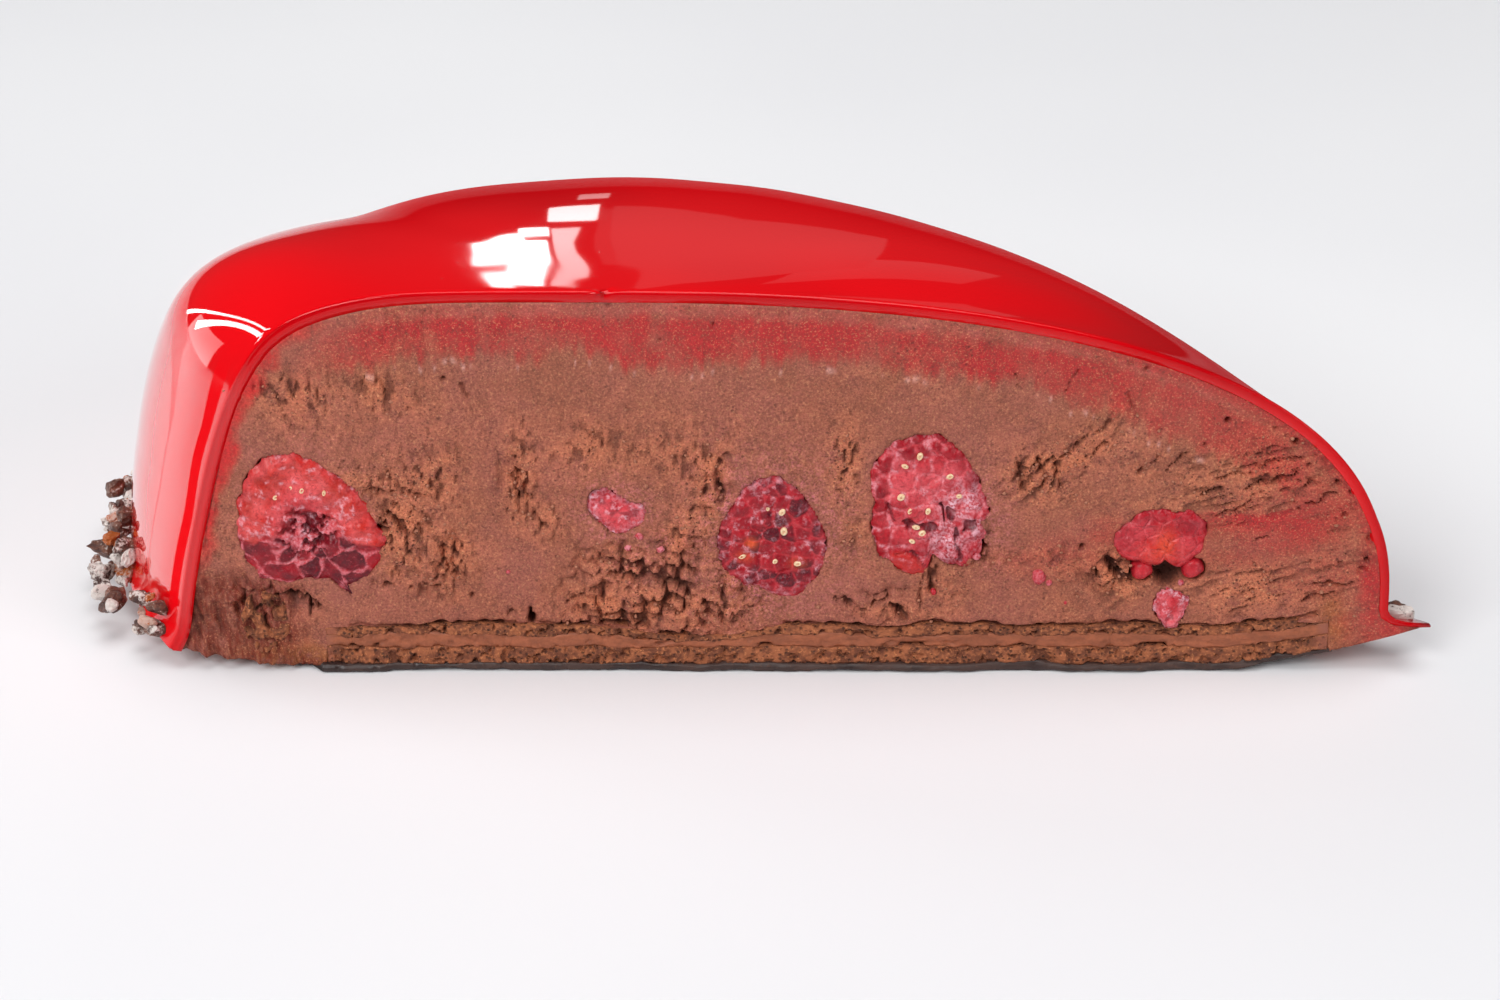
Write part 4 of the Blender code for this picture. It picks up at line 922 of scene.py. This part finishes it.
def freshLook(x, z, share, cell):
    # Round drupelets along the rim, cut flesh in the middle, frost at the lower right
    near, after, tag = cells(x, z, cell, 221)
    bead = np.clip(1 - (near / 0.72) ** 2, 0, 1)
    joint = rise(after - near + 0.1 * noise(x, z, 0.7, 230), 0.26, 0.05)
    rim = rise(share + 0.12 * noise(x, z, 3.0, 222), 0.6, 0.82)
    frost = spots(x, z, flesh["frosted"]) * np.clip(0.75 + 0.8 * clouds(x, z, 1.2, 223), 0, 1.2)
    crevice = cracks(x, z, flesh["crevices"], 224, 0.3)
    # painted shade: the crevices are darker wine red and lose their frost
    crevice_shade = rise(crevice, 0.3, 0.9)
    low = rise(z, onCut(925, 512)[1], onCut(925, 540)[1])
    rough = clouds(x, z, 1.1, 226) * (0.25 + 0.5 * low)
    # a flap of flesh under the berry
    flapX, flapZ = onCut(907, 563)
    flap = rise(np.hypot((x - flapX) / 2.7, (z - flapZ + 0.45 * (x - flapX)) / 1.7), 1.1, 0.85)
    into = (0.1 - 0.9 * bead * rim * (1 - 0.5 * low) + 0.25 * clouds(x, z, 0.9, 229) - 0.3 * bead * (1 - rim)
            + 0.1 * joint + 0.5 * rough)
    into = into * (1 - flap) - 0.55 * flap + 0.5 * crevice
    pink = (1 - rim) * (0.38 + 0.5 * clouds(x, z, 2.4, 227)) * (1 - 0.35 * low) + 0.5 * joint
    wine = rim * (0.2 + 0.45 * tag) * (1 - 0.6 * low) * (1 - joint) + crevice_shade * 0.75 + 0.22 * tag * bead * (1 - rim)
    wine += low * rise(noise(x, z, 1.2, 228), 0.1, 0.5) * 0.2
    frost = np.maximum(frost, joint * (0.2 + 0.5 * clouds(x, z, 1.0, 231)))
    return into, {"pink": pink * (1 - flap), "wine": wine * (1 - 0.7 * flap), "frost": frost * (1 - 0.8 * crevice_shade),
                  "orange": 0.12 * flap}


def frozenLook(x, z, share, cell):
    # Dark frozen drupelets between pale icy walls, with a rim of frost
    near, after, tag = cells(x, z, cell, 241)
    bead = np.clip(1 - (near / 0.7) ** 2, 0, 1)
    joint = rise(after - near + 0.08 * noise(x, z, 0.8, 242), 0.24, 0.04)
    speck = rise(clouds(x, z, 0.9, 243), 0.22, 0.42)
    rim = rise(share + 0.1 * noise(x, z, 1.2, 244), 0.78, 1.02)
    into = 0.1 - 0.45 * bead + 0.25 * clouds(x, z, 1.0, 245)
    wine = ((1 - 0.7 * joint) * (0.45 + 0.7 * rise(tag, 0.2, 0.6)) * (0.85 + 0.5 * clouds(x, z, 1.5, 246))
            * (1 - 0.3 * rim))
    frost = 0.3 * joint * speck + 0.3 * rim * rise(clouds(x, z, 0.8, 247), -0.1, 0.3) + 0.22 * speck
    return into, {"pink": 0.25 * joint + 0.2 * rim, "wine": wine, "frost": frost,
                  "orange": spots(x, z, flesh["amber"])}


def smoothLook(x, z, share, cell):
    # Clear red and almost flat, with purple and orange patches
    near, after, _ = cells(x, z, cell, 261)
    joint = rise(after - near, 0.2, 0.03)
    into = -0.1 + 0.15 * joint - 0.16 * (1 - near ** 2) + 0.35 * clouds(x, z, 1.4, 263)
    return into, {"pink": 0.18 + 0.3 * clouds(x, z, 1.5, 264) + 0.3 * joint,
                  "wine": spots(x, z, flesh["purple"]) + rise(share, 0.9, 1.0) * 0.25,
                  "frost": 0.0 * x, "orange": spots(x, z, flesh["clear"])}


def scrapLook(x, z, share, cell):
    # A torn scrap under a fuzz of frost
    fuzz = clouds(x, z, 0.8, 281)
    return 0.1 + 0.45 * clouds(x, z, 1.5, 282), {
        "pink": 0.45 + 0.6 * clouds(x, z, 1.4, 283), "wine": rise(clouds(x, z, 1.7, 284), 0.15, 0.5) * 0.5,
        "frost": 0.35 * rise(share, 0.4, 1.0) + 0.5 * rise(fuzz, 0.1, 0.4), "orange": 0 * x}


looks = {"fan": fanLook, "fresh": freshLook, "frozen": frozenLook, "smooth": smoothLook, "scrap": scrapLook}


def berryMaterial():
    recipe = Recipe("raspberry_flesh")
    fine, coarse, speck = recipe.grain(0.45, 3.0, 0.65), recipe.grain(1.5, 2.0), recipe.grain(0.6, 3.0, 0.8)
    frost = recipe.field("frost") * fine.step(0.35, 0.62)
    colour = recipe.coats(
        flesh["red"], (flesh["pink"], recipe.field("pink") * (fine * 0.7 + 0.65)),
        (flesh["wine"], recipe.field("wine") * (coarse * 0.5 + 0.75)), (flesh["orange"], recipe.field("orange")),
        # mottled: dark red between paler threads
        (flesh["mottle"], speck.step(0.5, 0.34) * 0.55), (flesh["pink"], speck.step(0.55, 0.7) * 0.4),
        (flesh["frost"], frost))
    return recipe.finish(recipe.shade(colour, fine * 0.5 + 0.72), frost * 0.4 + 0.3, fine * 0.6 + coarse * 0.4,
                         depth=0.3, strength=0.5, fixed={"IOR": 1.38})


def closedBall(middle, size, rows, columns, relief=None):
    # A ball of the given half sizes about a point, its surface pushed out by relief of its own directions
    way = ballGrid(rows, columns)
    return np.array(middle) + way * np.array(size) * (1.0 if relief is None else relief(way)[..., None])


def lumpy(way, size, seed, much):
    # Uneven radius over a ball from two noises, one across X and Z, one across Y, none at the poles
    x, y, z = (way[..., axis] for axis in range(3))
    return 1 + much * (noise(x + y * 0.7, z - y * 0.4, size, seed)
                       + 0.5 * noise(y + z, x, size * 0.6, seed + 1)) * (1 - np.abs(z) ** 8)


def berryGrids(number, berry):
    # The cut flesh with its relief, and a rounded back that closes it
    middleX, middleZ, outlineAngle, outlineAway = outlineOf(berry)
    rings, columns, ragged = (30, 90, 0.13) if berry["kind"] == "scrap" else (75, 200, 0.03)
    turn = np.linspace(0, 2 * math.pi, columns + 1)
    turn[-1] = 0.0
    share, inward = (np.linspace(0, 1, steps + 1)[:, None] for steps in (rings, 12))
    reach = np.interp(turn, outlineAngle, outlineAway, period=2 * math.pi)
    # drupelets bulge out along the outline
    count = round(2 * math.pi * reach.mean() / berry["cell"] * 1.1)
    reach = reach * (0.985 + 0.05 * np.abs(np.cos(turn * count / 2)) ** 0.7)
    reach = reach * (1 + ragged * clouds(np.cos(turn) * reach, np.sin(turn) * reach, 1.6, 60 + number))
    (x, z), (backX, backZ) = ((middleX + reach * part * np.cos(turn), middleZ + reach * part * np.sin(turn))
                              for part in (share, inward))
    into, given = looks[berry["kind"]](x, z, share + 0 * x, berry["cell"])
    edge = 0.35 + 0 * turn
    into = into * (1 - share ** 14) + (edge + 0.5) * share ** 10 * (1 - share ** 40) * 0.6 + edge * share ** 40
    front = np.stack([x, into, z], axis=-1)
    back = np.stack([backX, edge + berry["deep"] * np.sqrt(1 - inward ** 2), backZ], axis=-1)
    front[0], back[0] = front[0, :1], back[0, :1]
    front[-1] = back[-1]
    return [(front, True, {key: np.clip(value, 0, 1) for key, value in given.items()}), (back, False, {})]


def looseDrupelets():
    for u, v, radius in balls:
        ballX, ballZ = onCut(u, v)
        ball = closedBall((ballX, radius * 0.75, ballZ), (radius, radius, radius), 20, 28,
                          lambda way: lumpy(way, 0.8, 290, 0.12))
        yield ball, False, {"pink": 0.12, "wine": rise(noise(ball[..., 0], ball[..., 2], 0.9, 291), 0, 0.6) * 0.35}


def makeBerries():
    material = berryMaterial()
    for number, (name, berry) in enumerate(berries.items()):
        grids = berryGrids(number, berry)
        if berry["kind"] == "smooth":
            grids.extend(looseDrupelets())
        makePiece(name + "_cut", grids, material, "raspberry", [name])
    draw = np.random.default_rng(19)
    grids = []
    for u, v, size in flesh["bits"]:
        bitX, bitZ = onCut(u, v)
        half = tuple(size * draw.uniform(0.7, 1.1, 3))
        seed = int(draw.integers(300, 400))
        bit = closedBall((bitX, 0.15, bitZ), half, 12, 16, lambda way: lumpy(way, 0.7, seed, 0.2))
        grids.append((bit, False, {"pink": draw.uniform(0, 0.6), "wine": 0.1, "frost": draw.uniform(0, 0.4)}))
    makePiece("raspberry_bits", grids, material, "raspberry")


def makeSeeds():
    # Each seed is a flat ball with a dimple where the knife opened it
    grids = []
    draw = np.random.default_rng(29)
    for u, v, slope in seeds:
        seedX, seedZ = onCut(u, v)
        way = ballGrid(14, 18)[..., [0, 2, 1]]
        size = draw.uniform(*seedLook["size"])
        dimple = rise(-way[..., 1], 0.86, 0.98)
        shape = way * np.array((0.72, 0.42, draw.uniform(0.42, 0.6))) * size
        shape[..., 1] += 0.18 * dimple
        shape = turned(shape, 0, -math.radians(slope), 0)
        grids.append((shape + np.array([seedX, -0.12, seedZ]), True, {"dimple": dimple}))
    recipe = Recipe("seed")
    fine = recipe.grain(0.3, 2.0)
    colour = recipe.coats(seedLook["colour"], (seedLook["light"], fine.step(0.4, 0.7)),
                          (seedLook["dimple"], recipe.field("dimple") * 0.7))
    makePiece("raspberry_seeds", grids, recipe.finish(colour, 0.4, fine, depth=0.1, strength=0.4), "raspberry")


# The torn lump of sponge near the notch, in mm
lump = {"middle": (-70.1, 0.6, 7.9), "half": (3.4, 3.4, 4.9)}


def makeLump(material):
    def crumb(way):
        return 1 + 0.1 * noise(way[..., 0] * 2 + way[..., 1], way[..., 2] * 2, 0.7, 401) * (1 - way[..., 2] ** 8)
    shape = closedBall(lump["middle"], lump["half"], 70, 110, crumb)
    x, z = shape[..., 0], shape[..., 2]
    near, after, _ = cells(x, z, 1.5, 402)
    holes = rise(noise(x, z, 1.5, 403) + 0.4 * noise(x, z, 0.7, 404), 0.1, 0.45)
    level = -0.35 + 1.9 * holes - 0.8 * (after - near) + 0.8 * clouds(x, z, 1.3, 405)
    front = shape[..., 1] < level
    shape[..., 1] = np.where(front, level, shape[..., 1])
    # the holes in the torn front get painted shade
    makePiece("sponge_lump_cut", [(shape, False, {"hollow": holes * front})], material, "sponge", ["sponge_lump"])


# Nibs round the foot, in mm; rows: way out from the glaze, height and how many are there
nibs = {
    "size": 2.7, "spacing": 7.4, "behindCut": 3.0, "slide": 5.2, "push": 1.4, "rise": 1.2,
    "rows": ((1.2, 2.4, 1.0), (3.8, 2.0, 0.50), (0.9, 6.0, 0.65), (0.7, 9.4, 0.25)),
    # smaller stones round each: how many at most, the chance of each, their size and where they lie
    "small": 5, "chance": 0.7, "scale": (0.4, 0.7), "aside": (-3.6, 3.6), "outside": (0.0, 1.6),
    "above": (-1.8, 1.6), "smallBehindCut": 1.8, "sides": 11, "sharp": 36,
    # the pale colour is partly cocoa dust, partly painted highlight
    "dark": paint(66, 32, 24), "brown": paint(124, 76, 56), "black": paint(44, 20, 16),
    "amber": paint(190, 98, 38), "dust_and_highlight": paint(224, 214, 208),
}


def brokenStone(way, draw):
    # Distance from the middle to the nearest of some random flat sides, softly joined
    sides = draw.normal(size=(nibs["sides"], 3))
    sides /= np.linalg.norm(sides, axis=1, keepdims=True)
    far = draw.uniform(0.5, 1.0, nibs["sides"])
    reach = np.clip(np.tensordot(way, sides.T, axes=1) / far, 0.05, None)
    return ((reach ** nibs["sharp"]).sum(axis=-1) + 0.05) ** (-1 / nibs["sharp"])


def nibMiddles(draw):
    # Rows along the foot of the glaze, each at its own height and way out, with the solid's own random draws
    skin = domeSheet(np.linspace(0, math.pi, 181), 60, 0.0, 1.0, 0.0, 1.0)
    length = np.concatenate([[0], np.cumsum(np.hypot(*np.diff(skin[-1, :, :2], axis=0).T))])
    for out, up, share in nibs["rows"]:
        level = np.array([[np.interp(up, line[::-1, 2] - line[-1, 2] + dome["foot"], line[::-1, axis])
                           for axis in (0, 1)] for line in skin.transpose(1, 0, 2)])
        for stop in np.arange(nibs["spacing"] / 2, length[-1], nibs["spacing"]):
            chance, slide, push, lift = draw.uniform(0, 1, 4)
            if chance > share:
                continue
            here = stop + (slide - 0.5) * nibs["slide"]
            start, ahead = (np.array([np.interp(at, length, level[:, axis]) for axis in (0, 1)])
                            for at in (here, here + 1))
            along = (ahead - start) / max(np.linalg.norm(ahead - start), 1e-9)
            outward = np.array([along[1], -along[0]])
            x, y = start + outward * (out + (push - 0.5) * nibs["push"])
            yield np.array([x, max(y, nibs["behindCut"]), lifted(x, up + (lift - 0.5) * nibs["rise"])]), along, outward


def nibMaterial():
    recipe = Recipe("cocoa_nib")
    fine, coarse, amber = recipe.grain(0.5, 4.0, 0.75), recipe.grain(2.2, 3.0, 0.6), recipe.field("amber")
    # pale patches: partly cocoa dust, partly painted highlight
    dust_and_highlight = (fine * 0.5 + coarse * 0.42 + recipe.field("ash") * 0.2).step(0.53, 0.61) * (1 - amber * 0.5)
    colour = recipe.coats(nibs["dark"], (nibs["brown"], coarse.step(0.35, 0.65)),
                          (nibs["black"], fine.step(0.45, 0.3) * 0.7), (nibs["amber"], amber * 0.8),
                          (nibs["dust_and_highlight"], dust_and_highlight * 0.9))
    return recipe.finish(colour, dust_and_highlight * 0.5 - amber * 0.2 + 0.42, fine * 0.7 + coarse * 0.3, depth=0.6, strength=0.8)


def makeNibs():
    draw, own = np.random.default_rng(7), np.random.default_rng(77)
    grids = []
    for middle, along, outward in nibMiddles(draw):
        draw.uniform(-1, 1, 12)      # the solid's stone takes these draws
        size = nibs["size"] * draw.uniform(0.75, 1.2)
        _, tilt = draw.uniform(0, math.tau), draw.uniform(-0.6, 0.6)
        for small in (False, *[True] * nibs["small"]):
            if small and own.uniform() > nibs["chance"]:
                continue
            way = ballGrid(9, 13) if small else ballGrid(14, 20)
            scale = own.uniform(*nibs["scale"]) if small else 0.95
            half = size * np.array([1.0, own.uniform(0.55, 0.85), own.uniform(0.5, 0.75)])
            shape = way * brokenStone(way, own)[..., None] * half * scale
            rough = lumpy(way, 0.4, int(own.integers(500, 900)), 0.17)
            shape = turned(shape * rough[..., None], tilt + small * own.uniform(-0.8, 0.8), 0, own.uniform(0, math.tau))
            place = middle.copy()
            if small:
                place[:2] += along * own.uniform(*nibs["aside"]) + outward * own.uniform(*nibs["outside"])
                place[2] += own.uniform(*nibs["above"]) * (place[2] > 3)
                place[1] = max(place[1], nibs["smallBehindCut"])
            # the lowest stones stand just in the foot's plane
            low = shape[..., 2].min()
            place[2] = max(place[2], dome["foot"] - 0.3 - low) if place[2] > 3.4 else dome["foot"] - 0.4 - low
            grids.append((shape + place, False, {"amber": float(own.uniform() < 0.2), "ash": own.uniform(0, 1)}))
    makePiece("cocoa_nibs", grids, nibMaterial(), "nibs").data.shade_flat()


# Crumbs that cling to the torn parts of the cut: size and least height in mm, and how far they stray
crumbs = {"count": 420, "size": (0.14, 0.38), "lowest": 7.6, "stray": 0.55,
          "colour": paint(146, 88, 66), "light": paint(176, 116, 90)}


def makeCrumbs():
    draw = np.random.default_rng(53)
    way = ballGrid(6, 8)
    grids = []
    while len(grids) < crumbs["count"]:
        u, v, wide, high, _, strength = mousse["crumbly"][draw.integers(len(mousse["crumbly"]))]
        placeX, placeZ = onCut(u, v)
        x, z = placeX + draw.normal() * wide * crumbs["stray"], placeZ + draw.normal() * high * crumbs["stray"]
        inBerry = min(berryShare(berry, np.array([x]), np.array([z]))[0] for berry in berries.values()) < 1.1
        if z < crumbs["lowest"] or inBerry or draw.uniform() > strength:
            continue
        size = draw.uniform(*crumbs["size"]) * np.array([1.0, 0.7, 0.8])
        shape = turned(way * brokenStone(way, draw)[..., None] * size, draw.uniform(0, 3), 0, draw.uniform(0, 3))
        grids.append((shape + np.array([x, -0.02, z]), False, {}))
    recipe = Recipe("mousse_crumb")
    fine = recipe.grain(0.4, 2.0)
    colour = recipe.coats(crumbs["colour"], (crumbs["light"], fine.step(0.35, 0.65)))
    makePiece("mousse_crumbs", grids, recipe.finish(colour, 0.75, fine, depth=0.15, strength=0.5), "mousse")


studio = {
    "floor": paint(234, 234, 236), "shade": paint(228, 228, 231), "world": 0.05,
    # name: place and aim in m, width and height in m, power in W
    "lights": {
        "key": ((-1.1, -1.5, 1.4), (0.0, 0.0, 0.03), (1.1, 1.1), 37.0),
        "top": ((0.1, -0.1, 1.7), (0.0, 0.0, 0.0), (1.4, 1.0), 18.5),
        "fill": ((1.5, -1.0, 0.8), (0.0, 0.0, 0.03), (0.9, 0.9), 10.0),
    },
    # What the glaze mirrors from behind and from the left: middle along the wall and up, width and height
    # in m, turn in degrees, brightness
    "wallAway": 2.2,
    "behind": {
        "pane_1": (-0.248, 0.720, 0.032, 0.21, 0, 8.0), "pane_2": (-0.245, 0.905, 0.026, 0.10, 0, 8.0),
        "pane_3": (-0.216, 0.602, 0.044, 0.06, 0, 8.0), "pane_4": (-0.217, 0.790, 0.036, 0.26, 0, 9.0),
        "pane_5": (-0.164, 0.445, 0.060, 0.14, 0, 4.5), "pane_6": (-0.172, 0.750, 0.034, 0.34, 0, 2.6),
        "pane_7": (-0.147, 0.240, 0.045, 0.10, 0, 1.6),
        "haze_1": (0.060, 0.700, 0.34, 0.60, 0, 0.13), "haze_2": (0.350, 1.080, 0.50, 0.56, 0, 0.15),
        "haze_3": (-0.020, 0.620, 0.22, 0.40, 0, 0.08),
    },
    "left": {
        "bar_1": (1.52, 0.58, 1.95, 0.09, 42, 15.0), "bar_2": (1.10, 0.57, 1.12, 0.17, 46, 15.0),
        "bar_3": (0.46, 0.84, 0.22, 0.30, 40, 15.0), "wall": (1.15, 0.14, 1.00, 0.44, 0, 2.0),
    },
}


def makeLight(name, place, way, size, power, roll=0.0):
    light = bpy.data.lights.new(name, "AREA")
    light.shape, light.size, light.size_y, light.energy = "RECTANGLE", *size, power
    lamp = placed(name, light)
    lamp.location = place
    lamp.rotation_euler = (Vector(way).to_track_quat("-Z", "Y")
                           @ Quaternion((0, 0, 1), math.radians(roll))).to_euler()
    lamp.visible_camera = False


def makeStudio():
    recipe = Recipe("pale_floor")
    tone = recipe.coats(studio["floor"], (studio["shade"], recipe.grain(300, 2.0).step(0.3, 0.7)))
    mesh = bpy.data.meshes.new("floor")
    mesh.from_pydata([(-8, -8, 0), (8, -8, 0), (8, 8, 0), (-8, 8, 0)], [], [(0, 1, 2, 3)])
    mesh.materials.append(recipe.finish(tone, 0.6))
    floor = placed("floor", mesh)
    world = bpy.data.worlds.new("studio")
    world.use_nodes = True
    world.node_tree.nodes["Background"].inputs["Color"].default_value = (*[studio["world"]] * 3, 1.0)
    bpy.context.scene.world = world
    for name, (place, aim, size, power) in studio["lights"].items():
        makeLight(name, place, np.array(aim) - np.array(place), size, power)
    # an area light is as bright as a quarter of its power over its area
    away = studio["wallAway"]
    for side in ("behind", "left"):
        for name, (along, up, wide, high, roll, bright) in studio[side].items():
            place, way = ((along, away, up), (0, -1, 0)) if side == "behind" else ((-away, along, up), (1, 0, 0))
            makeLight(name, place, way, (wide, high), 4 * bright * wide * high, roll)
    lens = bpy.data.cameras.new("camera")
    lens.sensor_width, lens.lens = 36.0, camera["pixels"] * 36.0 / camera["wide"]
    lens.clip_start, lens.clip_end = 0.01, 50.0
    viewer = placed("camera", lens)
    viewer.location = (np.array([0.0, -camera["back"], camera["height"]]) + shift) / 1000
    viewer.rotation_euler = (math.radians(90 - camera["pitch"]), 0, 0)
    bpy.context.scene.camera = viewer
    bpy.context.scene.view_settings.view_transform = "Standard"


print("glaze")
makeGlaze()
print("mousse and layers")
makeMousse()
makeLayers()
makeLump(bpy.data.materials["cocoa_sponge"])
print("raspberries")
makeBerries()
makeSeeds()
print("nibs and crumbs")
makeNibs()
makeCrumbs()
print("studio")
makeStudio()
